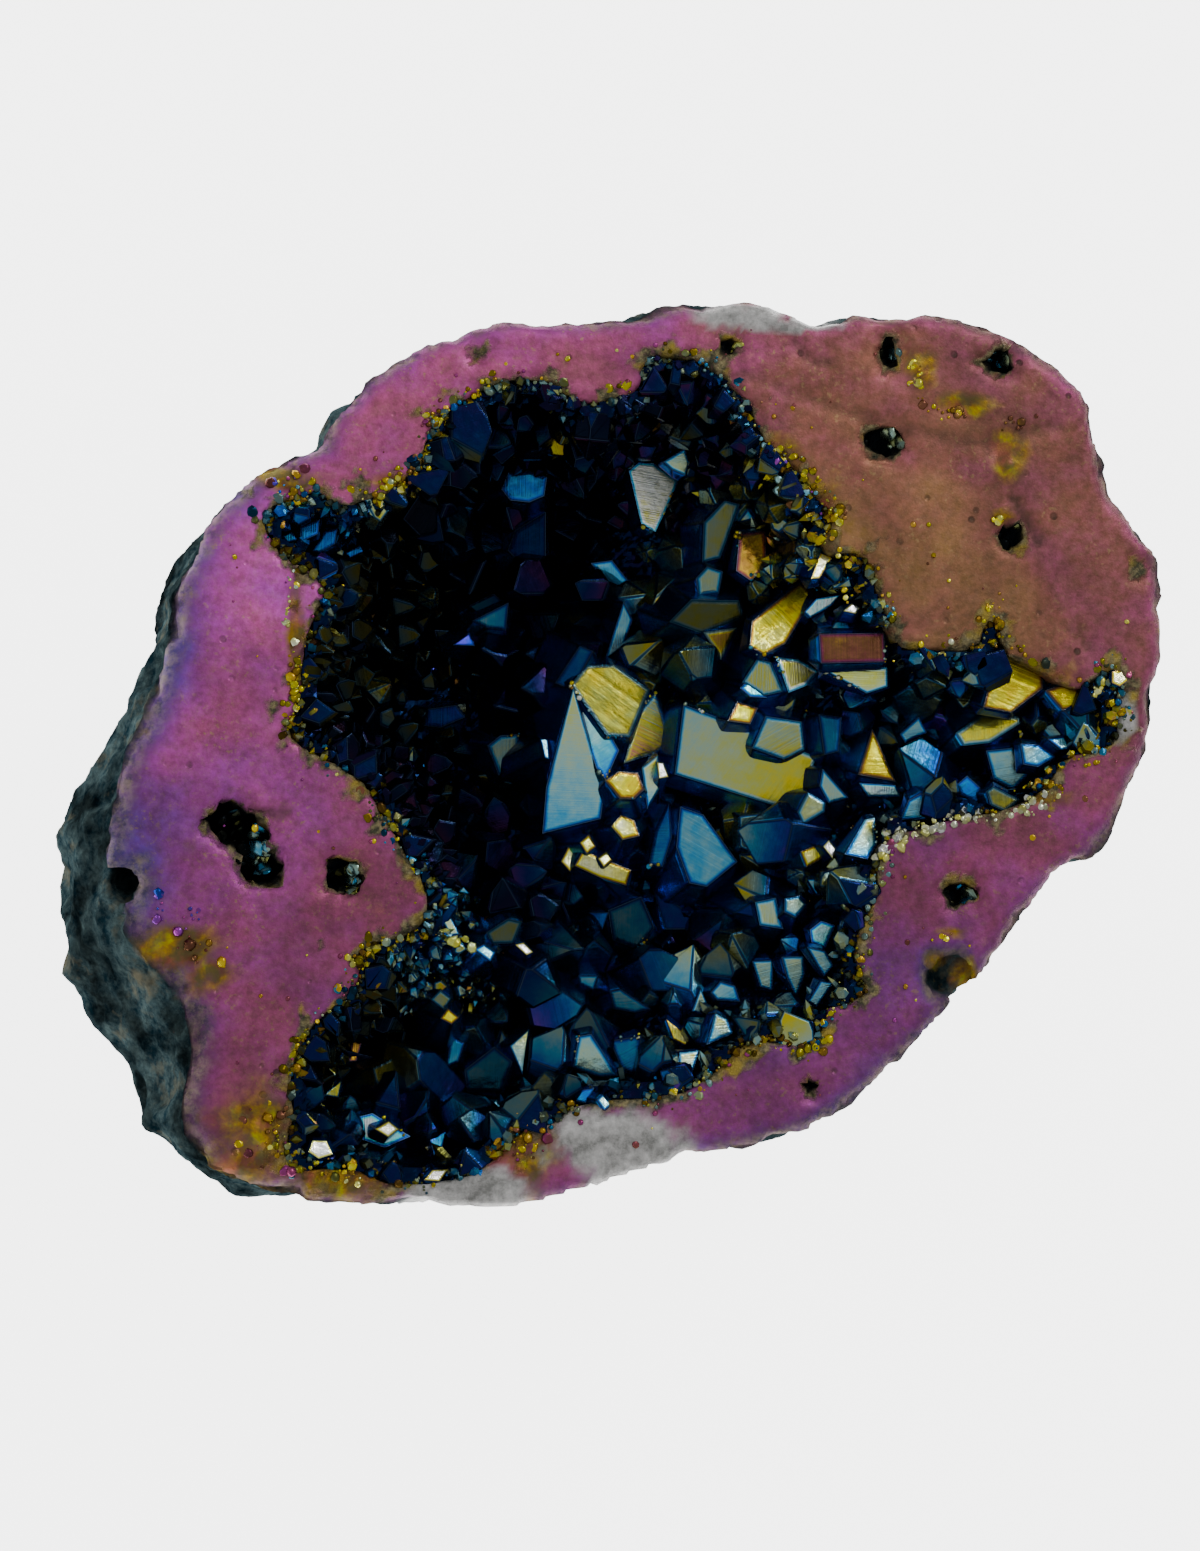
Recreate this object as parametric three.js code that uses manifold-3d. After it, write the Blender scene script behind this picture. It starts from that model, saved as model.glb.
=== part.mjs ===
// Half of a quartz geode, sawn flat and coated: a rock wall around a hollow that is lined with
// a crust of grown-together crystals. Millimetres, +Z up. The sawn face looks straight up and the
// natural flat on the underside rests at z = 0.

import * as THREE from "three";
import { ConvexGeometry } from "three/addons/geometries/ConvexGeometry.js";
import { SimplexNoise } from "three/addons/math/SimplexNoise.js";
import { mergeVertices } from "three/addons/utils/BufferGeometryUtils.js";
import Module from "manifold-3d";

const wasm = await Module();
wasm.setup();

// ---- driving dimensions -------------------------------------------------------------------

const faceHeight = 36; // sawn face above the resting flat
const bodyCentre = [2.02, 1.012]; // middle of the whole outline, which becomes x = y = 0
const restShare = 0.34; // resting flat, as a share of the sawn outline
const restCentre = [2.7, 1.6]; // middle of the resting flat, below the centre of mass
const shellColumns = 86;
const shellRows = 11;
const rowCrowding = 1.1; // above 1, the rows of the rind lie closer towards the face
const wallFullness = 0.6; // smaller keeps the wall steeper above the resting flat
const shoulder = { direction: 187, spread: 15, height: 3.6 }; // where the rind swells out
const foot = { direction: 210, spread: 9.5, height: 6.8 };
const swellEnd = 0.8; // share of the height below the face at which the swell is gone
const evenTop = 0.12; // shares of the height where lumps start and where they fade again
const evenFoot = 0.85;
const lumpHeight = 1.1; // swells of the rind
const lumpWidth = 9;
const roughHeight = 0.5;
const roughWidth = 2.7;
const ledgePitch = 4.6; // layers that stand out of the rind on its left side
const ledgeHeight = 0.9;
const ledgeWander = 0.8;
const ledgeWaviness = 14;
const crustGap = 0.35; // clearance between the crust and the rock that backs it
const crustThickness = 2.4;
const crustRimWidth = 1.5; // sawn edge of the crust, seen on the face
const rimDepth = 0.3; // depth of the ground right at the rim
const wallRun = 6; // distance from the rim in which the hollow reaches its depth
const rockRunStart = 0.4; // how far outside the rim the rock's own wall begins
const rockFloorStep = 3.9;
const crustFloorStep = 3.6;
const groundRoughness = 0.8;
const groundWander = 0.9;
const hollowLimits = { left: -31, right: 47, front: -38, back: 37 }; // just past the rim
const lowestCut = 1; // nothing of the hollow comes below this height
const cutClearance = 2; // how far cutting bodies stand above the sawn face
const pitUnevenness = 0.4;
const facetDepth = 5; // how far a crystal's sides run down into the crust
const steepestSide = 14; // slopes of the crystals' sides from upright, in degrees
const sideVariety = 20;
const sharpCorner = 0.1; // corners with a turn past this cosine are cut off below the flat
const looseSpacing = 5.6; // between the smaller crystals that fill in
const looseFromRim = 1.6;
const looseFromLarge = 1.7;
const looseRadius = 0.9; // least radius, and as much again at most
const leastPoint = 0.9; // least and most height of a loose crystal, in its own radii
const mostPoint = 2.2;
const pointFlats = 5;
const rootDepth = 2; // how far a loose crystal reaches below the ground

// The outlines and the crystals' corners below are read in one view of the piece, from above and a
// little from the left and the front: how far across and how far down each place lies in it.
const viewScale = 12; // view units in a millimetre at the middle of the view
const viewDistance = 380; // from the middle of the view to the eye
const viewTilt = { left: 12, front: 6 }; // degrees from straight above
const viewMiddle = [600, 775.5];
const originSeenAt = [610, 757]; // where x = y = 0 of the sawn face lies in the view
const placesPerMm = 10; // places are rounded to tenths of a millimetre

// The outline of the sawn face, anticlockwise from the right-hand end.
const outlineSeen = [
  [1148, 730], [1150, 700], [1161, 655], [1158, 610], [1156, 570], [1150, 540], [1130, 522],
  [1112, 503], [1101, 480], [1100, 450], [1092, 420], [1082, 392], [1058, 371], [1030, 352],
  [998, 337], [965, 323], [930, 315], [908, 313], [888, 318], [855, 317], [820, 322], [800, 317],
  [770, 308], [738, 304], [700, 307], [660, 315], [630, 323], [570, 325], [530, 323], [500, 324],
  [460, 336], [420, 352], [388, 371], [355, 397], [334, 430], [312, 456], [290, 464], [268, 473],
  [240, 492], [215, 520], [197, 552], [184, 585], [178, 618], [172, 650], [163, 685], [152, 720],
  [136, 755], [124, 795], [116, 835], [120, 875], [136, 915], [158, 945], [182, 970], [198, 1000],
  [206, 1035], [200, 1070], [192, 1105], [204, 1140], [232, 1168], [275, 1186], [330, 1194],
  [390, 1200], [450, 1202], [510, 1200], [560, 1190], [600, 1177], [645, 1162], [700, 1147],
  [750, 1137], [790, 1127], [820, 1119], [842, 1103], [862, 1084], [898, 1048], [928, 1022],
  [952, 998], [985, 960], [1008, 933], [1025, 903], [1045, 876], [1063, 858], [1080, 855], [1097, 841],
  [1108, 822], [1120, 795], [1132, 772], [1142, 752],
];

// The rim of the hollow on the sawn face, clockwise from its upper left corner.
const rimSeen = [
  [266, 512], [285, 500], [305, 496], [318, 488], [332, 503], [352, 505], [375, 496], [392, 493],
  [404, 480], [420, 470], [426, 450], [430, 432], [440, 418], [462, 402], [478, 392], [500, 382],
  [522, 378], [548, 381], [566, 396], [590, 403], [612, 399], [632, 395], [643, 385], [644, 366],
  [652, 356], [680, 358], [702, 362], [716, 372], [732, 386], [748, 400], [757, 420], [766, 445],
  [785, 458], [800, 472], [812, 492], [828, 508], [834, 525], [822, 543], [832, 556], [850, 552],
  [866, 556], [874, 572], [878, 592], [886, 608], [890, 628], [902, 646], [922, 652], [945, 650],
  [966, 652], [982, 642], [987, 622], [984, 606], [993, 598], [1002, 612], [1000, 636], [1010, 655],
  [1036, 668], [1058, 682], [1080, 690], [1098, 680], [1112, 664], [1122, 676], [1118, 700],
  [1120, 722], [1118, 742], [1100, 750], [1078, 754], [1062, 764], [1050, 784], [1030, 801],
  [1000, 811], [972, 815], [946, 821], [918, 829], [896, 834], [882, 846], [877, 868], [880, 892],
  [872, 908], [862, 925], [856, 950], [859, 975], [868, 992], [850, 1003], [830, 1008], [824, 1028],
  [812, 1046], [790, 1044], [766, 1040], [742, 1046], [728, 1062], [710, 1078], [686, 1092],
  [650, 1098], [608, 1100], [572, 1108], [556, 1122], [530, 1128], [510, 1140], [500, 1158],
  [470, 1176], [430, 1184], [390, 1184], [362, 1172], [330, 1168], [300, 1172], [284, 1160],
  [290, 1138], [296, 1112], [290, 1090], [294, 1068], [302, 1046], [314, 1024], [334, 1008],
  [352, 996], [362, 975], [358, 950], [380, 942], [408, 936], [426, 922], [430, 902], [424, 880],
  [410, 856], [394, 830], [380, 806], [366, 782], [342, 766], [318, 754], [296, 742], [288, 724],
  [298, 708], [303, 684], [305, 656], [308, 632], [318, 612], [328, 592], [318, 574], [300, 564],
  [284, 556], [274, 542], [266, 528],
];

// How deep the hollow is at places across it: across and down in the view, depth below the face.
const depthsSeen = [
  [450, 620, 20], [350, 620, 16], [560, 470, 18], [690, 420, 15], [700, 530, 12.5], [560, 600, 17],
  [480, 760, 18], [640, 600, 14], [600, 720, 12.5], [560, 840, 15], [640, 850, 13], [740, 690, 9.5],
  [720, 850, 12.5], [800, 700, 8], [860, 760, 8.5], [925, 700, 11], [1000, 740, 6.5], [1090, 720, 6.5],
  [770, 560, 8], [620, 940, 16], [720, 920, 13], [780, 960, 9], [820, 900, 7], [660, 1040, 8.5],
  [600, 985, 12], [480, 1060, 12], [380, 1050, 14], [430, 1140, 7.5], [410, 965, 6], [500, 940, 7.5],
  [300, 535, 8.5], [420, 880, 14], [770, 1010, 7],
];

// Small natural pits that the saw opened: across and down in the view, then half length, half
// width, turn in degrees and depth.
const pitsSeen = [
  [240, 827, 3.1, 1.8, -32, 5], [260, 863, 2, 1.5, 5, 5], [345, 876, 2.1, 1.5, -12, 3.5],
  [130, 882, 1.7, 1.8, 0, 4.5], [885, 440, 2, 1.4, 0, 2.5], [891, 352, 1, 1.9, 0, 3],
  [1000, 360, 2, 1.2, -35, 3], [1014, 533, 1.4, 1.3, 0, 2.5], [1140, 568, 0.6, 0.7, 0, 2],
  [962, 892, 1.8, 1.4, 0, 3], [945, 970, 2.3, 2, 0, 2.5], [813, 1085, 0.8, 0.9, 0, 3],
  [730, 343, 1.1, 0.9, 0, 2], [480, 352, 0.9, 0.6, 0, 2], [155, 672, 1, 0.7, -50, 2.5],
];

// The large crystals, each by the flat that it shows: depth of the flat below the sawn face, the
// compass direction it leans towards and by how much in degrees, then its corners in the view.
const flatsSeen = [
  // centre cluster
  [9.5, 250, 16, [568, 690], [546, 788], [545, 833], [603, 819], [605, 790]],
  [8.3, 200, 24, [570, 689], [592, 702], [618, 752], [607, 780], [598, 768]],
  [8, 60, 12, [570, 684], [587, 664], [616, 662], [652, 689], [629, 738], [605, 738]],
  [9.2, 330, 20, [655, 692], [637, 714], [623, 764], [658, 754], [674, 742], [664, 712]],
  [8.4, 60, 13, [604, 781], [619, 770], [640, 772], [646, 789], [634, 800], [619, 799]],
  [9, 300, 22, [641, 768], [657, 756], [662, 788], [650, 809]],
  [7.4, 240, 9, [682, 704], [702, 712], [815, 757], [808, 792], [785, 809], [676, 774]],
  [5.8, 60, 14, [726, 722], [738, 701], [760, 707], [750, 724]],
  [6.2, 280, 14, [752, 748], [764, 716], [802, 722], [806, 750], [786, 760]],
  [9.6, 200, 12, [680, 806], [703, 814], [737, 862], [707, 888], [690, 884], [677, 846]],
  [10.4, 170, 30, [669, 803], [655, 832], [650, 864], [662, 868], [671, 838]],
  [9.6, 60, 15, [610, 826], [622, 814], [636, 820], [640, 836], [622, 840]],
  [10.4, 30, 12, [573, 866], [582, 850], [634, 870], [628, 886], [600, 878]],
  // upper right shelf
  [6.4, 90, 12, [740, 531], [767, 529], [766, 568], [750, 583], [735, 572]],
  [7.4, 240, 12, [704, 522], [724, 500], [739, 505], [722, 558], [703, 562]],
  [6.6, 300, 10, [668, 622], [690, 600], [740, 600], [746, 618], [702, 634]],
  [6.8, 320, 16, [702, 633], [738, 627], [722, 660]],
  [7.2, 250, 18, [696, 578], [706, 566], [722, 572], [720, 594], [700, 596]],
  [4.6, 55, 13, [747, 648], [750, 621], [806, 578], [820, 590], [786, 645], [762, 657]],
  [4.2, 250, 16, [805, 612], [816, 598], [840, 596], [832, 606], [812, 618]],
  [1.6, 60, 5, [818, 633], [885, 632], [887, 662], [820, 664]],
  [3.6, 300, 12, [825, 672], [850, 668], [888, 667], [890, 686], [868, 694]],
  [5.2, 230, 16, [743, 682], [756, 658], [770, 662], [784, 692], [765, 696]],
  [5, 70, 16, [776, 656], [800, 658], [821, 672], [806, 686], [787, 694]],
  // right arm
  [4.6, 60, 13, [874, 727], [896, 782], [857, 776]],
  [5, 280, 18, [858, 783], [896, 785], [904, 797], [868, 797]],
  [5.2, 150, 20, [820, 712], [842, 716], [838, 752], [824, 756]],
  [2.8, 240, 16, [901, 820], [908, 800], [924, 791], [928, 820]],
  [3.4, 80, 9, [955, 733], [983, 713], [1022, 716], [1022, 739], [990, 743], [968, 757]],
  [3.6, 250, 14, [985, 750], [1012, 747], [1034, 770], [1015, 790], [994, 779]],
  [1.9, 40, 10, [1020, 743], [1040, 744], [1058, 757], [1038, 768], [1022, 765]],
  [4, 200, 18, [957, 784], [967, 775], [980, 788], [978, 804], [961, 796]],
  [1.5, 60, 9, [985, 791], [993, 785], [1021, 800], [1005, 812], [990, 806]],
  [1.3, 60, 8, [1000, 646], [1045, 672], [1045, 688], [1010, 714], [981, 709]],
  [1, 90, 7, [1045, 690], [1064, 683], [1084, 689], [1080, 707], [1062, 712]],
  [5.2, 60, 5, [797, 812], [808, 791], [827, 802], [825, 812], [803, 825]],
  [5.2, 240, 14, [822, 769], [849, 798], [830, 803], [820, 786]],
  [1.9, 60, 12, [843, 855], [866, 818], [877, 816], [878, 845], [866, 861]],
  // teeth along the lower right edge
  [5.4, 250, 12, [755, 902], [775, 897], [784, 930], [760, 925]],
  [4.6, 60, 10, [784, 898], [800, 895], [809, 905], [796, 918], [783, 912]],
  [3.6, 260, 14, [809, 929], [820, 920], [835, 925], [826, 950], [812, 942]],
  [6.6, 240, 12, [751, 961], [773, 960], [773, 991], [761, 988]],
  [5.2, 250, 12, [780, 956], [803, 955], [806, 974], [798, 999], [786, 977]],
  [2.8, 250, 14, [806, 946], [825, 950], [835, 966], [826, 978]],
  [5.6, 210, 16, [711, 992], [720, 980], [735, 985], [740, 1002], [718, 1001]],
  [3.4, 60, 10, [705, 1045], [716, 1012], [728, 1018], [734, 1034]],
  [4.6, 250, 12, [578, 1036], [590, 1033], [620, 1077], [600, 1078], [573, 1068]],
  [5.4, 180, 20, [611, 1040], [641, 1035], [638, 1075], [622, 1071]],
  [8, 200, 16, [610, 990], [620, 988], [650, 1010], [635, 1013], [615, 1009]],
  // deep middle
  [12.4, 150, 24, [655, 886], [690, 914], [688, 930], [665, 930]],
  [11.6, 230, 16, [608, 910], [640, 896], [655, 928], [640, 950], [613, 940]],
  // upper hollow
  [12.8, 60, 9, [628, 470], [640, 460], [656, 462], [680, 480], [665, 515], [654, 533], [640, 525]],
  [11.2, 240, 14, [663, 461], [684, 448], [691, 465], [687, 476], [672, 470]],
  [14, 200, 14, [502, 488], [508, 472], [530, 470], [547, 478], [545, 497], [530, 503], [511, 500]],
  [14.2, 230, 14, [590, 563], [612, 560], [632, 585], [612, 587]],
  [15, 200, 18, [508, 550], [515, 530], [545, 512], [546, 560], [520, 562]],
  [14.6, 240, 16, [473, 620], [508, 603], [507, 630], [486, 628]],
  [15.6, 190, 20, [425, 725], [428, 708], [455, 705], [465, 718], [440, 728]],
  [12.4, 240, 16, [622, 603], [632, 620], [618, 665], [605, 664]],
  [8.2, 190, 22, [580, 645], [592, 652], [572, 690], [556, 682]],
  [14, 240, 14, [487, 745], [500, 735], [518, 735], [520, 765], [500, 776]],
  // lower left pocket
  [5.6, 190, 14, [359, 1116], [372, 1112], [410, 1137], [385, 1149], [363, 1140]],
  [7.2, 60, 9, [509, 1046], [531, 1028], [522, 1076]],
  [8, 220, 14, [464, 1070], [494, 1046], [512, 1062], [502, 1094], [468, 1092]],
  [5.6, 250, 16, [486, 932], [508, 918], [522, 922], [514, 944], [492, 944]],
];

const viewSlope = {
  left: Math.tan(THREE.MathUtils.degToRad(viewTilt.left)),
  front: Math.tan(THREE.MathUtils.degToRad(viewTilt.front)),
};
const towardsEye = new THREE.Vector3(-viewSlope.left, -viewSlope.front, 1).normalize();
const viewRight = new THREE.Vector3(0, 1, 0).cross(towardsEye).normalize();
const viewUp = towardsEye.clone().cross(viewRight);

// The step in the plane of the view, in millimetres, from one place in the view to another.
function viewStep([fromAcross, fromDown], [toAcross, toDown]) {
  return new THREE.Vector3()
    .addScaledVector(viewRight, (toAcross - fromAcross) / viewScale)
    .addScaledVector(viewUp, (fromDown - toDown) / viewScale);
}

const eye = new THREE.Vector3(0, 0, faceHeight)
  .add(viewStep(originSeenAt, viewMiddle))
  .addScaledVector(towardsEye, viewDistance);

// x and y of what is seen at a place in the view, at a depth below the sawn face.
function placeSeenAt(place, depth, parts = placesPerMm) {
  const sight = viewStep(viewMiddle, place).addScaledVector(towardsEye, -viewDistance);
  const reach = (faceHeight - depth - eye.z) / sight.z;
  return [eye.x + reach * sight.x, eye.y + reach * sight.y]
    .map((value) => Math.round(value * parts) / parts);
}

const hollowDepths = depthsSeen.map(([across, down, depth]) => [
  ...placeSeenAt([across, down], depth, 1), depth,
]);
const pits = pitsSeen.map(([across, down, ...shape]) => [...placeSeenAt([across, down], 0), ...shape]);
const faceOutline = outlineSeen.map((place) => placeSeenAt(place, 0));
const cavityRim = rimSeen.map((place) => placeSeenAt(place, 0));
const shownFlats = flatsSeen.map(([depth, towards, lean, ...corners]) => [
  depth, towards, lean, ...corners.map((place) => placeSeenAt(place, depth)),
]);

// ---- small helpers ------------------------------------------------------------------------

function seeded(seed) {
  let state = seed;
  return () => {
    state = (state * 1664525 + 1013904223) % 4294967296;
    return state / 4294967296;
  };
}

const lumps = new SimplexNoise({ random: seeded(11) });

const clamp = THREE.MathUtils.clamp;
const smooth = THREE.MathUtils.smoothstep;
const radians = THREE.MathUtils.degToRad;

// A closed geometry as a solid that can be joined and cut.
function solid(geometry) {
  const bare = geometry.clone();
  bare.deleteAttribute("normal");
  bare.deleteAttribute("uv");
  const welded = mergeVertices(bare, 1e-4);
  return new wasm.Manifold(new wasm.Mesh({
    numProp: 3,
    vertProperties: new Float32Array(welded.attributes.position.array),
    triVerts: new Uint32Array(welded.index.array),
  }));
}

function indexedGeometry(positions, triangles) {
  const geometry = new THREE.BufferGeometry();
  geometry.setAttribute("position", new THREE.Float32BufferAttribute(positions, 3));
  geometry.setIndex(triangles);
  return geometry;
}

function largestPiece(body) {
  const pieces = body.decompose();
  return pieces.reduce((best, piece) => (piece.volume() > best.volume() ? piece : best));
}

function distanceToLine(x, y, line) {
  let nearest = Infinity;
  for (let i = 0; i < line.length; i += 1) {
    const [ax, ay] = line[i];
    const [bx, by] = line[(i + 1) % line.length];
    const length = Math.hypot(bx - ax, by - ay);
    const along = ((x - ax) * (bx - ax) + (y - ay) * (by - ay)) / length ** 2;
    const share = clamp(along, 0, 1);
    nearest = Math.min(nearest, Math.hypot(x - ax - share * (bx - ax), y - ay - share * (by - ay)));
  }
  return nearest;
}

function isInside(x, y, line) {
  let inside = false;
  for (let i = 0; i < line.length; i += 1) {
    const [ax, ay] = line[i];
    const [bx, by] = line[(i + 1) % line.length];
    const crosses = ay > y !== by > y && x < ((bx - ax) * (y - ay)) / (by - ay) + ax;
    inside = crosses ? !inside : inside;
  }
  return inside;
}

// Distance in from the rim of the hollow, negative outside it.
function inset(x, y) {
  const distance = distanceToLine(x, y, cavityRim);
  return isInside(x, y, cavityRim) ? distance : -distance;
}

// ---- the rock ------------------------------------------------------------------------------

// How far the rind swells past the sawn outline, by compass direction.
function rindSwell(heading) {
  const degrees = (THREE.MathUtils.radToDeg(heading) + 360) % 360;
  const swells = [shoulder, foot].map(({ direction, spread, height }) => (
    height * Math.exp(-(((degrees - direction) / spread) ** 2) / 2)
  ));
  return swells[0] + swells[1];
}

// One point of the rind: fall runs from 0 at the sawn edge to 1 at the edge of the resting flat.
function rindPoint(edge, fall) {
  const direction = Math.atan2(edge.y, edge.x);
  const z = faceHeight * (1 - fall);
  const share = restShare + (1 - restShare) * (1 - fall ** 3) ** wallFullness;
  const swell = rindSwell(direction) * Math.sin(Math.PI * clamp(fall / swellEnd, 0, 1));
  const free = smooth(fall, 0, evenTop) * (1 - smooth(fall, evenFoot, 1));
  const lump = lumps.noise3d(edge.x / lumpWidth, edge.y / lumpWidth, z / lumpWidth) * lumpHeight;
  const rough = lumps.noise3d(edge.x / roughWidth, edge.y / roughWidth, z / roughWidth) * roughHeight;
  const wave = lumps.noise(edge.x / ledgeWaviness, edge.y / ledgeWaviness) * ledgeWander;
  const layer = z / ledgePitch + wave;
  const leftward = smooth(-Math.cos(direction), 0.1, 0.8);
  const ledge = (layer - Math.floor(layer) - 0.5) * ledgeHeight * leftward;
  const out = swell + (lump + rough + ledge) * free;
  return new THREE.Vector3(
    edge.x * share + Math.cos(direction) * out + restCentre[0] * fall ** 2,
    edge.y * share + Math.sin(direction) * out + restCentre[1] * fall ** 2,
    z,
  );
}

function rockShell() {
  const corners = faceOutline.map(([x, y]) => new THREE.Vector3(x, y, 0));
  const line = new THREE.CatmullRomCurve3(corners, true, "centripetal");
  const edge = line.getSpacedPoints(shellColumns).slice(0, shellColumns);
  const positions = [];
  for (let row = 0; row <= shellRows; row += 1) {
    const fall = (row / shellRows) ** rowCrowding;
    edge.forEach((point) => positions.push(...rindPoint(point, fall).toArray()));
  }
  const triangles = [];
  for (let row = 0; row < shellRows; row += 1) {
    for (let column = 0; column < shellColumns; column += 1) {
      const here = row * shellColumns + column;
      const beside = row * shellColumns + ((column + 1) % shellColumns);
      triangles.push(here, here + shellColumns, beside + shellColumns);
      triangles.push(here, beside + shellColumns, beside);
    }
  }
  const flatEdge = edge.map((point) => new THREE.Vector2(point.x, point.y));
  THREE.ShapeUtils.triangulateShape(flatEdge, []).forEach((face) => triangles.push(...face));
  const middle = positions.length / 3;
  positions.push(restCentre[0], restCentre[1], 0);
  const lastRow = shellRows * shellColumns;
  for (let column = 0; column < shellColumns; column += 1) {
    triangles.push(lastRow + column, middle, lastRow + ((column + 1) % shellColumns));
  }
  return solid(indexedGeometry(positions, triangles));
}

// ---- the hollow ----------------------------------------------------------------------------

function baseDepth(x, y) {
  let total = 0;
  let weights = 0;
  hollowDepths.forEach(([px, py, depth]) => {
    const weight = 1 / ((x - px) ** 2 + (y - py) ** 2 + 1) ** 1.5;
    total += depth * weight;
    weights += weight;
  });
  return total / weights;
}

// Depth of the crystals' ground below the sawn face at a distance in from the rim.
function groundDepth(x, y, distance) {
  const run = clamp((distance - crustRimWidth) / wallRun, 0, 1);
  const fall = Math.sqrt(1 - (1 - run) ** 2);
  return rimDepth + (baseDepth(x, y) - rimDepth) * fall;
}

function rockDepth(x, y, distance) {
  const run = clamp((distance + rockRunStart) / wallRun, 0, 1);
  return (baseDepth(x, y) + crustThickness) * Math.sqrt(1 - (1 - run) ** 2);
}

// A block over the hollow's area whose bottom and top follow two height functions.
function fieldBlock(step, bottom, top, wander) {
  const { left, right, front, back } = hollowLimits;
  const columns = Math.ceil((right - left) / step);
  const rows = Math.ceil((back - front) / step);
  const random = seeded(5);
  const positions = [];
  const corner = (layer, row, column) => (row * (columns + 1) + column) * 2 + layer;
  for (let row = 0; row <= rows; row += 1) {
    for (let column = 0; column <= columns; column += 1) {
      const x = left + column * step + (random() - 0.5) * wander;
      const y = front + row * step + (random() - 0.5) * wander;
      positions.push(x, y, bottom(x, y), x, y, top(x, y));
    }
  }
  const triangles = [];
  const quad = (a, b, c, d) => triangles.push(a, b, c, a, c, d);
  for (let row = 0; row < rows; row += 1) {
    for (let column = 0; column < columns; column += 1) {
      quad(corner(1, row, column), corner(1, row, column + 1),
        corner(1, row + 1, column + 1), corner(1, row + 1, column));
      quad(corner(0, row, column), corner(0, row + 1, column),
        corner(0, row + 1, column + 1), corner(0, row, column + 1));
    }
  }
  for (let column = 0; column < columns; column += 1) {
    quad(corner(0, 0, column), corner(0, 0, column + 1), corner(1, 0, column + 1), corner(1, 0, column));
    quad(corner(0, rows, column + 1), corner(0, rows, column),
      corner(1, rows, column), corner(1, rows, column + 1));
  }
  for (let row = 0; row < rows; row += 1) {
    quad(corner(0, row + 1, 0), corner(0, row, 0), corner(1, row, 0), corner(1, row + 1, 0));
    quad(corner(0, row, columns), corner(0, row + 1, columns),
      corner(1, row + 1, columns), corner(1, row, columns));
  }
  return solid(indexedGeometry(positions, triangles));
}

function prism(line, bottom, top) {
  const shape = new THREE.Shape(line.map(([x, y]) => new THREE.Vector2(x, y)));
  const geometry = new THREE.ExtrudeGeometry(shape, { depth: top - bottom, bevelEnabled: false });
  return solid(geometry.translate(0, 0, bottom));
}

// The rim line moved into the hollow by a distance, corner by corner.
function movedInRim(distance) {
  return cavityRim.map(([x, y], i) => {
    const before = cavityRim.at(i - 1);
    const after = cavityRim[(i + 1) % cavityRim.length];
    const along = new THREE.Vector2(after[0] - before[0], after[1] - before[1]).normalize();
    return [x + along.y * distance, y - along.x * distance];
  });
}

function hollow() {
  const above = faceHeight + cutClearance;
  const bottom = (x, y) => faceHeight - rockDepth(x, y, inset(x, y));
  const block = fieldBlock(rockFloorStep, bottom, () => above + 1, 0);
  return prism(cavityRim, lowestCut, above).intersect(block);
}

// All the room that the crust may fill: the hollow less its clearance, up to the sawn face.
function crustRoom() {
  const bottom = (x, y) => {
    const depth = rockDepth(x, y, inset(x, y) - crustGap * 1.5) - crustGap * 1.4;
    return faceHeight - Math.max(depth, crustGap / 3);
  };
  const room = fieldBlock(rockFloorStep, bottom, () => faceHeight + cutClearance, 0);
  return prism(movedInRim(crustGap), lowestCut, faceHeight).intersect(room);
}

function pitBody([x, y, halfLength, halfWidth, turn, depth], index) {
  const random = seeded(40 + index);
  const ball = new THREE.IcosahedronGeometry(1, 0);
  ball.deleteAttribute("normal");
  ball.deleteAttribute("uv");
  const body = mergeVertices(ball, 1e-4);
  const position = body.attributes.position;
  for (let i = 0; i < position.count; i += 1) {
    const reach = 1 + pitUnevenness * (random() - 0.4);
    position.setXYZ(i, position.getX(i) * reach, position.getY(i) * reach, position.getZ(i));
  }
  body.scale(halfLength, halfWidth, depth).rotateZ(radians(turn)).translate(x, y, faceHeight);
  return solid(body);
}

// ---- the crystals --------------------------------------------------------------------------

// The convex body inside a set of planes, each a normal and the distance along it.
function bodyInside(planes) {
  const corners = [];
  for (let i = 0; i < planes.length; i += 1) {
    for (let j = i + 1; j < planes.length; j += 1) {
      for (let k = j + 1; k < planes.length; k += 1) {
        const corner = meetingPoint(planes[i], planes[j], planes[k]);
        if (corner && planes.every(({ normal, reach }) => normal.dot(corner) <= reach + 1e-6)) {
          corners.push(corner);
        }
      }
    }
  }
  return solid(new ConvexGeometry(corners));
}

function meetingPoint(a, b, c) {
  const bc = b.normal.clone().cross(c.normal);
  const size = a.normal.dot(bc);
  if (Math.abs(size) < 1e-5) {
    return null;
  }
  const ca = c.normal.clone().cross(a.normal);
  const ab = a.normal.clone().cross(b.normal);
  return bc.multiplyScalar(a.reach).addScaledVector(ca, b.reach).addScaledVector(ab, c.reach)
    .divideScalar(size);
}

function planeThrough(normal, point) {
  return { normal, reach: normal.dot(point) };
}

// The direction out of a side that leans back from upright by a slope.
function slopedAway(out, slope) {
  const side = out.clone().setZ(0).normalize().multiplyScalar(Math.cos(slope));
  return side.setZ(Math.sin(slope));
}

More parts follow.
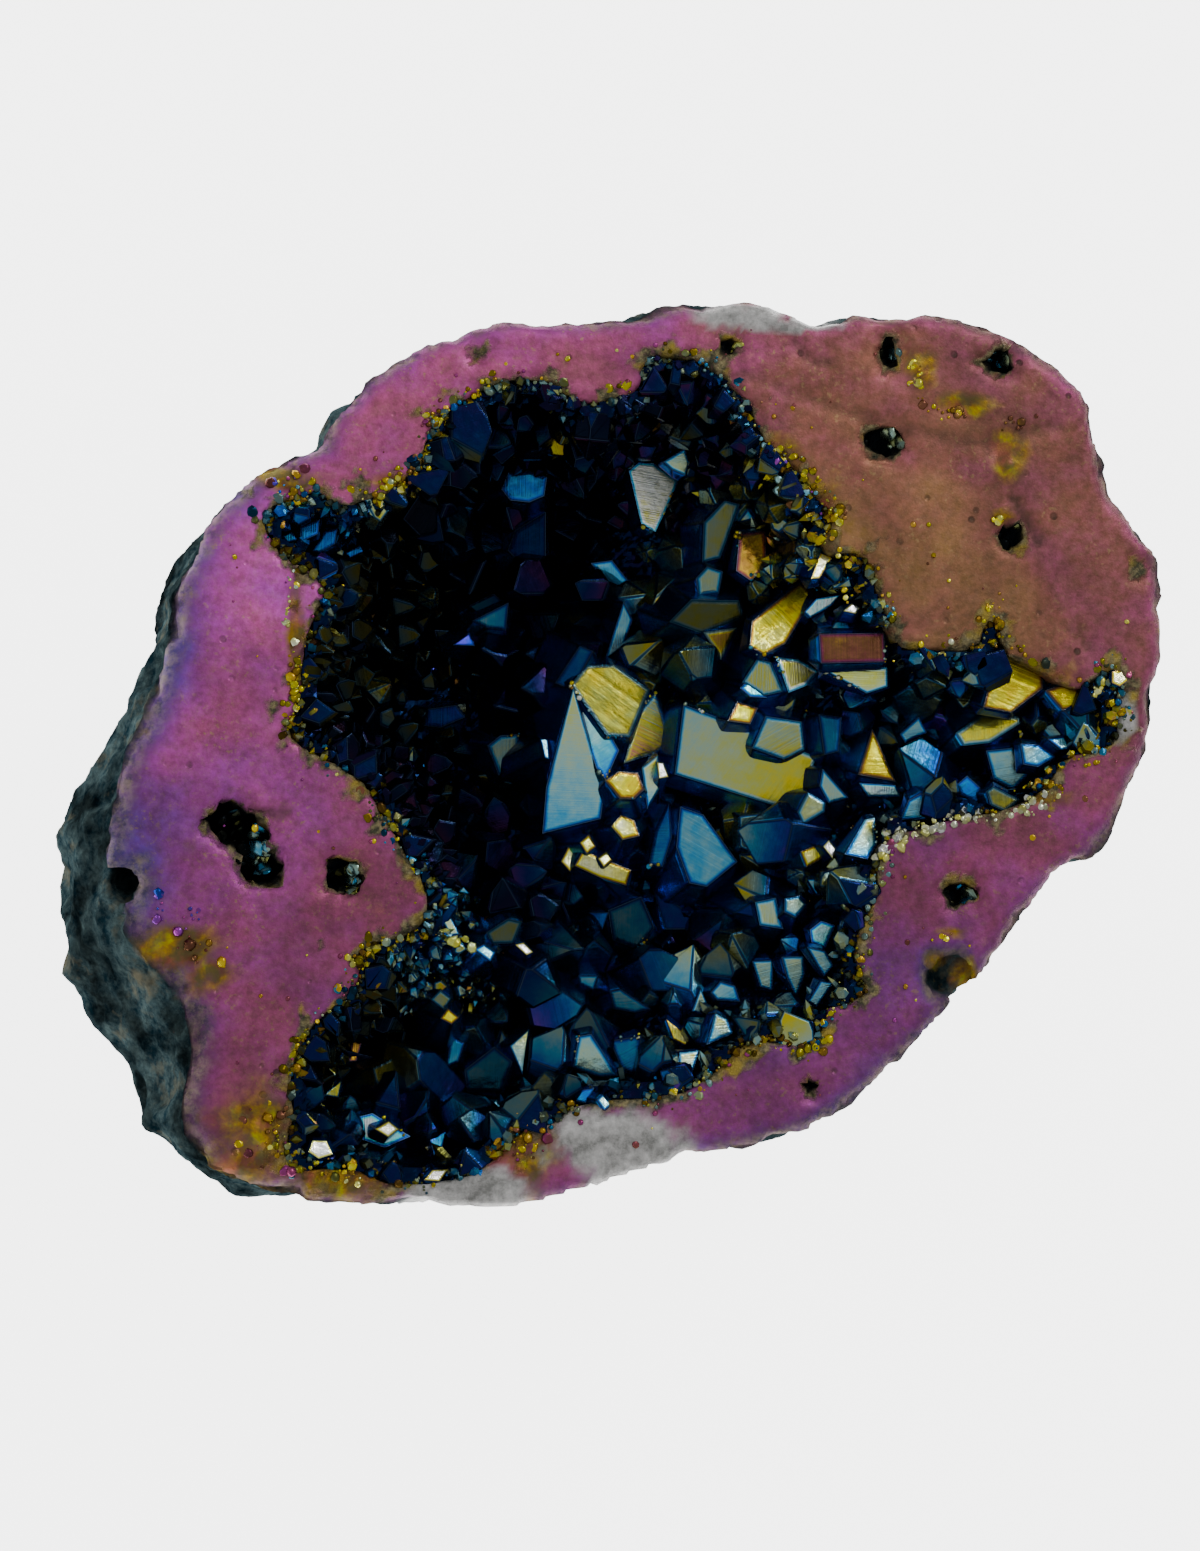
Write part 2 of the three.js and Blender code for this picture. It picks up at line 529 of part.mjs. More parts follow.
// A crystal that shows one large flat: its sides slope away below the flat's edges. A sharp corner
// gets a side of its own, or the body would run far past it.
function flatCrystal([depth, towards, lean, ...corners], index) {
  const random = seeded(200 + index);
  const points = corners.map(([x, y]) => new THREE.Vector2(x, y));
  if (!THREE.ShapeUtils.isClockWise(points)) {
    points.reverse();
  }
  const middle = points.reduce((sum, p) => sum.add(p), new THREE.Vector2()).divideScalar(points.length);
  const up = new THREE.Vector3(
    Math.sin(radians(lean)) * Math.cos(radians(towards)),
    Math.sin(radians(lean)) * Math.sin(radians(towards)),
    Math.cos(radians(lean)),
  );
  const onFlat = (p) => {
    const drop = (up.x * (p.x - middle.x) + up.y * (p.y - middle.y)) / up.z;
    return new THREE.Vector3(p.x, p.y, faceHeight - depth - drop);
  };
  const planes = [planeThrough(up, onFlat(middle))];
  points.forEach((point, i) => {
    const start = onFlat(point);
    const along = onFlat(points[(i + 1) % points.length]).sub(start).normalize();
    const slope = radians(steepestSide + sideVariety * random());
    const side = slopedAway(new THREE.Vector3(-along.y, along.x, 0), slope);
    side.addScaledVector(along, -side.dot(along)).normalize();
    planes.push(planeThrough(side, start));
    const alongBefore = start.clone().sub(onFlat(points.at(i - 1))).normalize();
    if (along.dot(alongBefore) < sharpCorner) {
      planes.push(planeThrough(slopedAway(alongBefore.sub(along), slope), start));
    }
  });
  const down = new THREE.Vector3(0, 0, -1);
  planes.push(planeThrough(down, new THREE.Vector3(0, 0, faceHeight - depth - facetDepth)));
  return bodyInside(planes);
}

// A crystal point whose flats meet at its tip, standing on a root and leaning along an axis.
function pointedCrystal(root, axis, radius, height, random) {
  const across = new THREE.Vector3(axis.z, 0.3, -axis.x).cross(axis).normalize();
  const tip = root.clone().addScaledVector(axis, height);
  const planes = [planeThrough(axis.clone().negate(), root.clone().addScaledVector(axis, -rootDepth))];
  const twist = random() * Math.PI;
  for (let i = 0; i < pointFlats; i += 1) {
    const turn = twist + ((i + 0.5 * random()) * 2 * Math.PI) / pointFlats;
    const out = across.clone().applyAxisAngle(axis, turn);
    const slant = out.multiplyScalar(height).addScaledVector(axis, radius).normalize();
    planes.push(planeThrough(slant, tip));
  }
  return bodyInside(planes);
}

// Smaller crystals spread over the ground between the large ones.
function looseCrystals() {
  const random = seeded(77);
  const taken = shownFlats.map(([, , , ...corners]) => [
    corners.reduce((sum, [x]) => sum + x, 0) / corners.length,
    corners.reduce((sum, [, y]) => sum + y, 0) / corners.length,
  ]);
  const bodies = [];
  const { left, right, front, back } = hollowLimits;
  for (let y = front; y < back; y += looseSpacing) {
    for (let x = left; x < right; x += looseSpacing) {
      const px = x + (random() - 0.5) * looseSpacing;
      const py = y + (random() - 0.5) * looseSpacing;
      const distance = inset(px, py);
      const crowded = taken.some(([tx, ty]) => Math.hypot(px - tx, py - ty) < looseFromLarge);
      if (distance > looseFromRim && !crowded) {
        bodies.push(crystalOnGround(px, py, random));
      }
    }
  }
  return bodies;
}

function crystalOnGround(x, y, random) {
  const ground = (px, py) => faceHeight - groundDepth(px, py, inset(px, py));
  const reach = 0.5;
  const root = new THREE.Vector3(x, y, ground(x, y));
  const slopeX = clamp(ground(x + reach, y) - ground(x - reach, y), -2, 2);
  const slopeY = clamp(ground(x, y + reach) - ground(x, y - reach), -2, 2);
  const axis = new THREE.Vector3(-slopeX + random() - 0.5, -slopeY + random() - 0.5, 1.3).normalize();
  const radius = looseRadius * (1 + random());
  const height = radius * (leastPoint + (mostPoint - leastPoint) * random());
  return pointedCrystal(root, axis, radius, height, random);
}

function crust() {
  const random = seeded(9);
  const top = (x, y) => faceHeight - groundDepth(x, y, inset(x, y)) - groundRoughness * random();
  const ground = fieldBlock(crustFloorStep, () => lowestCut, top, groundWander);
  const crystals = shownFlats.map(flatCrystal).concat(looseCrystals());
  return largestPiece(wasm.Manifold.union([ground, ...crystals]).intersect(crustRoom()));
}

function rock() {
  const pitBodies = wasm.Manifold.union(pits.map(pitBody));
  return largestPiece(rockShell().subtract(hollow()).subtract(pitBodies));
}

// ---- the part ------------------------------------------------------------------------------

function namedMesh(name, body, look) {
  const { vertProperties, triVerts } = body.getMesh();
  const geometry = indexedGeometry(Array.from(vertProperties), Array.from(triVerts));
  geometry.computeVertexNormals();
  const mesh = new THREE.Mesh(geometry, new THREE.MeshStandardMaterial(look));
  mesh.name = name;
  mesh.position.set(-bodyCentre[0], -bodyCentre[1], 0);
  return mesh;
}

const geode = new THREE.Group();
geode.name = "aura_quartz_geode";
geode.add(namedMesh("geode_rock", rock(), { color: 0x8c4a72, roughness: 0.42, metalness: 0.6 }));
geode.add(namedMesh("crystal_crust", crust(), { color: 0x27405c, roughness: 0.16, metalness: 0.7 }));

export default geode;
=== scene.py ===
import itertools
import math

import bmesh
import bpy
import numpy as np
from mathutils import Matrix, Vector, noise


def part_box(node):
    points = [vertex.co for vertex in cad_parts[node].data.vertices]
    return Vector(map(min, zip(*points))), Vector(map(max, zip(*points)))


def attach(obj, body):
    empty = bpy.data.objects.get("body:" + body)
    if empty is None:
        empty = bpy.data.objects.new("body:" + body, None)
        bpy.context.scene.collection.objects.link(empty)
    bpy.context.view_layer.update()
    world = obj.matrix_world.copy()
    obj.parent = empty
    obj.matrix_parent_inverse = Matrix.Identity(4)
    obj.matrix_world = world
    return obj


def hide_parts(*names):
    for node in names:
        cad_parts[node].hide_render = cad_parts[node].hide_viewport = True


# Half of a coated quartz geode, sawn flat and lying on its rind. Lengths below are millimetres in
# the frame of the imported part, and meshes are made in metres.

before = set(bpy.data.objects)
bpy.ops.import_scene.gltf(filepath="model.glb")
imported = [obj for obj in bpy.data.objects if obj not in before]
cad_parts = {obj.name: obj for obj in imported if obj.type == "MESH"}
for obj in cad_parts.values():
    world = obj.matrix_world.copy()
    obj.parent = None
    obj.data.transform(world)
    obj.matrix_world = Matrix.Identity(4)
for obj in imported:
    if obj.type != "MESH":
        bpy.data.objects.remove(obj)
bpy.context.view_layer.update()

MM = 0.001
FACE_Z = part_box("geode_rock")[1].z / MM
FACE_MIDDLE = np.array([2.02, 1.012])  # centre of the outline, from the point x = y = 0 of the lists below
UP = np.array([0.0, 0.0, 1.0])
TINY = 1e-9  # keeps a division by nothing from failing
MERGE_WITHIN = 2e-6  # corners closer than this, in metres, are one corner
FACE_SLACK = 1e-5  # metres below the sawn face that still count as on it

# The camera's view. The depths of the hollow and the corners of the shown flats are given at places
# in it, across and down.
VIEW_TILT = {"left": 12, "front": 6}  # degrees from straight above
VIEW_SCALE = 12.0  # view units in a millimetre at the middle of the view
VIEW_HEIGHT = 1551
VIEW_MIDDLE = (600, 775.5)
ORIGIN_SEEN_AT = (610, 757)  # where x = y = 0 of the lists lies on the sawn face
CAMERA_FAR = 380.0  # from the middle of the view to the camera

# How deep the hollow is at places across it: across and down in the view, depth below the face.
DEPTHS_SEEN = [
    (450, 620, 20), (350, 620, 16), (560, 470, 18), (690, 420, 15), (700, 530, 12.5), (560, 600, 17),
    (480, 760, 18), (640, 600, 14), (600, 720, 12.5), (560, 840, 15), (640, 850, 13), (740, 690, 9.5),
    (720, 850, 12.5), (800, 700, 8), (860, 760, 8.5), (925, 700, 11), (1000, 740, 6.5),
    (1090, 720, 6.5), (770, 560, 8), (620, 940, 16), (720, 920, 13), (780, 960, 9), (820, 900, 7),
    (660, 1040, 8.5), (600, 985, 12), (480, 1060, 12), (380, 1050, 14), (430, 1140, 7.5),
    (410, 965, 6), (500, 940, 7.5), (300, 535, 8.5), (420, 880, 14), (770, 1010, 7),
]
RIM_WIDTH = 1.5  # from the rim to where the wall of the hollow starts to go down
RIM_DEPTH = 0.3  # depth of the ground right at the rim
WALL_RUN = 6.0  # from the rim to where the hollow has its full depth
FACET_DEPTH = 5.0  # how far the body of a large crystal reaches below its flat

# The large crystals, each by the flat that it shows: depth of the flat, the direction it leans
# towards and by how much in degrees, the film at its near and far end, the direction from near to
# far, its brightness, and its corners in the view.
# The brightness is partly painted light: values above one make a flat brighter than the lamps alone make
# it.
SHOWN_FLATS = [
    # centre cluster
    (9.5, 250, 16, 0.94, 0.77, 268, 1.3, [(568, 690), (546, 788), (545, 833), (603, 819), (605, 790)]),
    (8.3, 200, 24, 0.93, 0.71, 300, 2.24, [(570, 689), (592, 702), (618, 752), (607, 780), (598, 768)]),
    (8, 60, 12, 0.98, 0.95, 235, 0.36,
     [(570, 684), (587, 664), (616, 662), (652, 689), (629, 738), (605, 738)]),
    (9.2, 330, 20, 0.88, 1.1, 250, 1.21,
     [(655, 692), (637, 714), (623, 764), (658, 754), (674, 742), (664, 712)]),
    (8.4, 60, 13, 0.1, 0.18, 320, 0.9,
     [(604, 781), (619, 770), (640, 772), (646, 789), (634, 800), (619, 799)]),
    (9, 300, 22, 0.98, 0.8, 270, 1.79, [(641, 768), (657, 756), (662, 788), (650, 809)]),
    (8.2, 60, 20, 0, 0.02, 0, 1.56, [(657, 762), (664, 762), (669, 777), (658, 779)]),
    (7.4, 240, 9, 0.86, 0.99, 325, 1,
     [(682, 704), (702, 712), (815, 757), (808, 792), (785, 809), (676, 774)]),
    (5.8, 60, 14, 0.13, 0.15, 0, 1.5, [(726, 722), (738, 701), (760, 707), (750, 724)]),
    (6.2, 280, 14, 0.87, 0.95, 300, 1, [(752, 748), (764, 716), (802, 722), (806, 750), (786, 760)]),
    (9.6, 200, 12, 0.78, 0.8, 60, 0.9,
     [(680, 806), (703, 814), (737, 862), (707, 888), (690, 884), (677, 846)]),
    (10.4, 170, 30, 0.74, 0.7, 90, 0.6, [(669, 803), (655, 832), (650, 864), (662, 868), (671, 838)]),
    (9.6, 60, 15, 0.05, 0.12, 0, 1.08, [(610, 826), (622, 814), (636, 820), (640, 836), (622, 840)]),
    (10, 60, 16, 0.04, 0.12, 0, 1.2, [(580, 842), (590, 833), (597, 846), (586, 854)]),
    (10.2, 60, 22, 0.04, 0.12, 0, 1.1, [(598, 858), (608, 850), (614, 860), (603, 868)]),
    (10.4, 30, 12, 0.07, 0.1, 0, 0.63, [(573, 866), (582, 850), (634, 870), (628, 886), (600, 878)]),
    (10.8, 60, 18, 0.04, 0.12, 0, 1, [(560, 862), (570, 846), (580, 856), (570, 872)]),
    # upper right shelf
    (6.4, 90, 12, 0.25, 0.21, 300, 2.34, [(740, 531), (767, 529), (766, 568), (750, 583), (735, 572)]),
    (7.4, 240, 12, 0.9, 0.93, 0, 0.33, [(704, 522), (724, 500), (739, 505), (722, 558), (703, 562)]),
    (6.6, 300, 10, 0.93, 0.95, 0, 0.14, [(668, 622), (690, 600), (740, 600), (746, 618), (702, 634)]),
    (6.8, 320, 16, 1, 1.04, 0, 0.6, [(702, 633), (738, 627), (722, 660)]),
    (7.2, 250, 18, 0.9, 0.88, 0, 0.6, [(696, 578), (706, 566), (722, 572), (720, 594), (700, 596)]),
    (4.6, 55, 13, 0.17, 0.11, 225, 0.97,
     [(747, 648), (750, 621), (806, 578), (820, 590), (786, 645), (762, 657)]),
    (0.7, 60, 17, 0.08, 0.1, 0, 2.35, [(822, 551), (834, 556), (818, 579), (809, 580)]),
    (4.2, 250, 16, 0.84, 0.88, 0, 2.83, [(805, 612), (816, 598), (840, 596), (832, 606), (812, 618)]),
    (1.6, 60, 5, 0.28, 0.3, 0, 0.72, [(818, 633), (885, 632), (887, 662), (820, 664)]),
    (3.6, 300, 12, 0.94, 0.92, 270, 1.6, [(825, 672), (850, 668), (888, 667), (890, 686), (868, 694)]),
    (5.2, 230, 16, 0.9, 0.94, 0, 0.8, [(743, 682), (756, 658), (770, 662), (784, 692), (765, 696)]),
    (5, 70, 16, 0.97, 0.93, 0, 2.7, [(776, 656), (800, 658), (821, 672), (806, 686), (787, 694)]),
    (5.6, 60, 20, 0.8, 0.78, 0, 2.73, [(739, 688), (748, 681), (761, 684), (768, 698), (750, 697)]),
    (1.2, 60, 20, 0, 0, 0, 1.95, [(842, 611), (852, 602), (862, 607), (856, 614)]),
    # right arm
    (4.6, 60, 13, 0.13, 0.15, 270, 0.52, [(874, 727), (896, 782), (857, 776)]),
    (5, 280, 18, 0.87, 0.83, 0, 2.56, [(858, 783), (896, 785), (904, 797), (868, 797)]),
    (5.6, 200, 16, 0.85, 0.77, 280, 0.9, [(900, 734), (918, 717), (926, 733), (906, 743)]),
    (5.2, 150, 20, 0.77, 0.71, 0, 0.4, [(820, 712), (842, 716), (838, 752), (824, 756)]),
    (2.8, 240, 16, 0.84, 0.77, 280, 1.76, [(901, 820), (908, 800), (924, 791), (928, 820)]),
    (3.4, 80, 9, 0.95, 0.99, 0, 0.99,
     [(955, 733), (983, 713), (1022, 716), (1022, 739), (990, 743), (968, 757)]),
    (3.6, 250, 14, 0.86, 0.8, 280, 1.1, [(985, 750), (1012, 747), (1034, 770), (1015, 790), (994, 779)]),
    (1.9, 40, 10, 0.86, 0.78, 300, 1, [(1020, 743), (1040, 744), (1058, 757), (1038, 768), (1022, 765)]),
    (1.5, 60, 20, 0.8, 0.84, 0, 1.95, [(1047, 738), (1066, 735), (1070, 748), (1061, 750)]),
    (4, 200, 18, 0.74, 0.68, 300, 1.98, [(957, 784), (967, 775), (980, 788), (978, 804), (961, 796)]),
    (1.5, 60, 9, 0.93, 0.97, 0, 0.29, [(985, 791), (993, 785), (1021, 800), (1005, 812), (990, 806)]),
    (1.3, 60, 8, 0.18, 0.13, 250, 0.45, [(1000, 646), (1045, 672), (1045, 688), (1010, 714), (981, 709)]),
    (1, 90, 7, 0.2, 0.12, 270, 0.48, [(1045, 690), (1064, 683), (1084, 689), (1080, 707), (1062, 712)]),
    (0.1, 60, 14, 0.08, 0.1, 300, 2.16,
     [(1111, 683), (1112, 671), (1128, 668), (1133, 678), (1120, 687)]),
    (5.2, 60, 5, 0.95, 0.9, 300, 0.77, [(797, 812), (808, 791), (827, 802), (825, 812), (803, 825)]),
    (5.2, 240, 14, 0.88, 0.84, 0, 1, [(822, 769), (849, 798), (830, 803), (820, 786)]),
    (1.9, 60, 12, 0.99, 0.75, 285, 1.6, [(843, 855), (866, 818), (877, 816), (878, 845), (866, 861)]),
    (3.8, 60, 20, 0, 0, 0, 1.69, [(823, 846), (830, 840), (838, 850), (832, 860)]),
    (4.6, 60, 11, 0.07, 0.14, 0, 0.6, [(800, 852), (820, 842), (825, 858), (806, 868)]),
    # teeth along the lower right edge
    (5.4, 250, 12, 0.91, 0.86, 0, 1.2, [(755, 902), (775, 897), (784, 930), (760, 925)]),
    (4.6, 60, 10, 0.9, 0.8, 285, 1, [(784, 898), (800, 895), (809, 905), (796, 918), (783, 912)]),
    (3.6, 260, 14, 0.82, 0.79, 285, 3.52, [(809, 929), (820, 920), (835, 925), (826, 950), (812, 942)]),
    (6.6, 240, 12, 0.88, 0.83, 285, 1.1, [(751, 961), (773, 960), (773, 991), (761, 988)]),
    (5.2, 250, 12, 0.88, 0.82, 285, 1.1, [(780, 956), (803, 955), (806, 974), (798, 999), (786, 977)]),
    (2.8, 250, 14, 0.86, 0.82, 285, 1, [(806, 946), (825, 950), (835, 966), (826, 978)]),
    (2, 250, 16, 0.83, 0.8, 285, 1.15, [(820, 980), (833, 983), (818, 1008), (808, 1002)]),
    (5.6, 210, 16, 0.84, 0.78, 300, 1.2, [(711, 992), (720, 980), (735, 985), (740, 1002), (718, 1001)]),
    (6.6, 250, 14, 0.9, 0.84, 270, 1.56, [(700, 988), (708, 1004), (704, 1017), (692, 1012)]),
    (3.4, 60, 10, 0.97, 0.78, 275, 1.1, [(705, 1045), (716, 1012), (728, 1018), (734, 1034)]),
    (6, 60, 7, 0.12, 0.1, 0, 1.2, [(666, 1018), (695, 1041), (686, 1046), (673, 1040)]),
    (2.8, 60, 11, 0.97, 0.78, 275, 2.1, [(679, 1052), (700, 1050), (693, 1073), (678, 1065)]),
    (4.6, 250, 12, 0.88, 0.84, 0, 1.25,
     [(578, 1036), (590, 1033), (620, 1077), (600, 1078), (573, 1068)]),
    (5.4, 180, 20, 0.77, 0.7, 300, 0.63, [(611, 1040), (641, 1035), (638, 1075), (622, 1071)]),
    (8, 200, 16, 0.84, 0.74, 275, 0.35, [(610, 990), (620, 988), (650, 1010), (635, 1013), (615, 1009)]),
    (7.6, 200, 14, 0.82, 0.74, 275, 0.56, [(578, 975), (598, 976), (594, 990), (580, 984)]),
    (0.1, 60, 22, 0.82, 0.84, 0, 2.08, [(597, 1100), (604, 1094), (612, 1104), (604, 1110)]),
    (1.2, 200, 18, 0.74, 0.7, 300, 1.98, [(568, 1100), (576, 1090), (594, 1088), (586, 1104)]),
    # deep middle
    (12.4, 150, 24, 0.64, 0.66, 0, 0.2, [(655, 886), (690, 914), (688, 930), (665, 930)]),
    (11.6, 230, 16, 0.79, 0.76, 0, 0.14, [(608, 910), (640, 896), (655, 928), (640, 950), (613, 940)]),
    (6.2, 200, 20, 0.62, 0.66, 0, 0.28, [(735, 913), (752, 903), (753, 917)]),
    (12, 180, 24, 0.66, 0.7, 0, 0.6, [(590, 912), (608, 912), (602, 930)]),
    # upper hollow
    (12.8, 60, 9, 0.89, 0.95, 262, 5.3,
     [(628, 470), (640, 460), (656, 462), (680, 480), (665, 515), (654, 533), (640, 525)]),
    (11.2, 240, 14, 0.86, 0.9, 262, 1.2, [(663, 461), (684, 448), (691, 465), (687, 476), (672, 470)]),
    (14, 200, 14, 0.73, 0.72, 0, 1.17,
     [(502, 488), (508, 472), (530, 470), (547, 478), (545, 497), (530, 503), (511, 500)]),
    (14.2, 230, 14, 0.82, 0.76, 0, 1.2, [(590, 563), (612, 560), (632, 585), (612, 587)]),
    (15, 200, 18, 0.66, 0.68, 0, 0.15, [(508, 550), (515, 530), (545, 512), (546, 560), (520, 562)]),
    (14.6, 240, 16, 0.82, 0.74, 0, 0.4, [(473, 620), (508, 603), (507, 630), (486, 628)]),
    (15.4, 60, 12, 0.6, 0.64, 0, 2.1, [(452, 645), (470, 632), (475, 646)]),
    (15.6, 190, 20, 0.64, 0.66, 0, 0.35, [(425, 725), (428, 708), (455, 705), (465, 718), (440, 728)]),
    (12.4, 240, 16, 0.84, 0.8, 0, 0.81, [(622, 603), (632, 620), (618, 665), (605, 664)]),
    (8.2, 190, 22, 0.72, 0.68, 250, 0.3, [(580, 645), (592, 652), (572, 690), (556, 682)]),
    (14, 240, 14, 0.84, 0.88, 0, 0.4, [(487, 745), (500, 735), (518, 735), (520, 765), (500, 776)]),
    (9.4, 60, 22, 0.82, 0.84, 0, 1.69, [(541, 738), (549, 738), (549, 760), (544, 758)]),
    (2.9, 190, 18, 0.71, 0.7, 0, 1.65, [(299, 526), (320, 519), (318, 535), (300, 542)]),
    (4.2, 190, 18, 0.72, 0.7, 0, 1.2, [(312, 551), (325, 530), (338, 528), (335, 545), (320, 553)]),
    (3.6, 190, 18, 0.72, 0.7, 0, 2.88, [(282, 536), (291, 531), (297, 540), (288, 543)]),
    (7.8, 190, 18, 0.72, 0.7, 0, 2.7, [(345, 553), (360, 545), (367, 550), (350, 558)]),
    # lower left pocket
    (5.6, 190, 14, 0.82, 0.76, 0, 4.83,
     [(359, 1116), (372, 1112), (410, 1137), (385, 1149), (363, 1140)]),
    (4.6, 60, 20, 0.03, 0.02, 0, 1.3, [(374, 1129), (390, 1121), (400, 1129), (388, 1137)]),
    (8, 190, 16, 0.8, 0.74, 0, 0.6, [(446, 1068), (452, 1036), (464, 1043), (459, 1062)]),
    (7.2, 60, 9, 0.93, 0.82, 270, 0.9, [(509, 1046), (531, 1028), (522, 1076)]),
    (8, 220, 14, 0.8, 0.76, 0, 0.14, [(464, 1070), (494, 1046), (512, 1062), (502, 1094), (468, 1092)]),
    (4, 60, 14, 0.7, 0.72, 0, 4, [(430, 1140), (448, 1130), (442, 1148), (434, 1156)]),
    (0.9, 60, 20, 0, 0.02, 0, 2.34, [(307, 1152), (312, 1140), (328, 1140), (334, 1154), (318, 1160)]),
    (0.5, 60, 20, 0.03, 0.03, 0, 1.69, [(423, 1180), (432, 1170), (450, 1168), (440, 1182)]),
    (10.5, 60, 9, 0.22, 0.25, 0, 1.6, [(349, 1061), (353, 1040), (362, 1042), (356, 1062)]),
    (9, 60, 8, 0.93, 0.97, 0, 0.7, [(323, 1095), (342, 1080), (338, 1098)]),
    (4.6, 60, 12, 0.13, 0.16, 0, 0.88, [(440, 1018), (448, 1008), (460, 1017), (452, 1024)]),
    (5.6, 250, 16, 0.9, 0.92, 0, 0.2, [(486, 932), (508, 918), (522, 922), (514, 944), (492, 944)]),
    (4.8, 60, 20, 0.8, 0.82, 0, 2.08, [(474, 950), (484, 944), (496, 952), (490, 962)]),
    (5.4, 60, 20, 0.03, 0.02, 0, 1.69, [(515, 945), (524, 942), (534, 952), (526, 956)]),
    (4.4, 60, 10, 0.9, 0.88, 0, 1.2, [(441, 918), (450, 914), (460, 934), (450, 936)]),
    (5.2, 250, 14, 0.9, 0.92, 0, 0.42, [(430, 1000), (440, 990), (452, 998), (444, 1010)]),
]

# The film on the sawn face: x, y, thickness, brightness. It is thin and bronze at the upper right
# and thickens through magenta to violet. The brightness is partly painted light: a broad painted
# highlight on the left arm, painted shade to the right and below.
FACE_FILM = np.array([
    (22, 22, 0.28, 1.0), (28, 16, 0.285, 0.88), (33, 13, 0.29, 0.82), (39, 24, 0.345, 0.75),
    (44, 12, 0.35, 0.7), (24, 29, 0.33, 0.95), (12, 35, 0.375, 0.95), (36, 30, 0.33, 0.8),
    (40, -4, 0.395, 0.66), (30, -10, 0.415, 0.62), (24, -18, 0.47, 0.55), (15, -29, 0.455, 0.62),
    (16, 31, 0.33, 0.85), (5, 35, 0.40, 0.95), (-18, 27, 0.41, 1.2), (-31, 14, 0.435, 1.45),
    (-32, 4, 0.41, 1.2), (-36, 15, 0.485, 1.15), (-37, 6, 0.49, 0.9), (-38, -8, 0.50, 0.8),
    (-30, -10, 0.44, 0.85), (-22, -12, 0.39, 0.62), (-28, -18, 0.43, 0.66), (-30, -26, 0.40, 0.64),
])

# Bare patches of grey-white quartz on the face and just below its edge: x, y, half length, half width.
BARE_PATCHES = [
    (0.5, -32.0, 5.6, 2.6), (-12.0, -36.0, 4.6, 1.6), (44.6, 4.0, 1.2, 1.8), (13.5, 37.6, 6.0, 0.9),
]

# Places on the face where the film turns gold, olive and rose: x, y, half length, half width.
GOLD_PATCHES = [
    (-35.5, -16.2, 3.0, 1.5), (-33.0, -18.6, 1.6, 1.2), (-29.0, -31.5, 3.4, 3.6),
    (-22.0, -34.6, 3.6, 1.6), (27.2, 34.0, 1.4, 1.8), (31.0, 31.0, 2.4, 1.0), (35.0, 27.0, 1.6, 2.2),
    (34.0, 21.4, 0.9, 0.6), (29.2, -14.2, 1.3, 0.5), (28.2, -16.4, 1.2, 0.8), (30.6, -17.6, 0.8, 1.4),
    (17.4, 20.8, 2.6, 3.2), (-27.0, 22.4, 2.4, 1.0), (15.0, 25.6, 1.8, 1.8), (42.6, 6.6, 1.0, 0.8),
    (-7.0, -32.5, 2.8, 3.0), (34.5, 7.4, 4.6, 1.6), (22.0, 15.0, 1.2, 2.2), (-18.0, 22.6, 2.6, 0.8),
    (-26.4, 9.0, 0.7, 5.0), (36.6, -2.6, 2.6, 0.7),
]

# Fine grooves in the face: how strong, then the points they run through.
CRACKS = [
    (0.45, [(11.5, 33.0), (18.5, 30.6), (25, 28.8), (33, 27.4), (39.2, 29.7)]),
    (0.8, [(35.4, 23), (36.7, 20.6), (37.6, 19.4)]),
    (0.8, [(-27.1, -5.1), (-29.0, -5.5), (-31.0, -5.2)]),
    (0.6, [(16, 35.8), (17.5, 34.2), (19.2, 34.0)]), (0.5, [(40.5, 12), (42, 10.4)]),
    (0.5, [(13.5, 26.5), (17.5, 23.5)]),
]

# Stretches of the rim with gilded, grey-olive and whitish beads: x, y, half length, half width.
GOLD_RIM = [
    (16.5, 22.5, 3.5, 4.5), (-19, 22.5, 3, 1.5), (-13.5, 27.5, 1.2, 1.2), (-26.5, 5, 1.2, 3),
    (38, -3, 3, 1.5),
]
GREY_RIM = [
    (-5, 29, 6, 3), (5, 32, 3, 2), (24, -14, 2, 5),
]
PALE_RIM = [
    (24, -6.5, 5, 1.5), (30, -5.0, 4, 1.2), (37, -3.2, 3, 1.2), (-27.5, 10.5, 1, 2.5),
    (-14, -2, 1.5, 1.5),
]
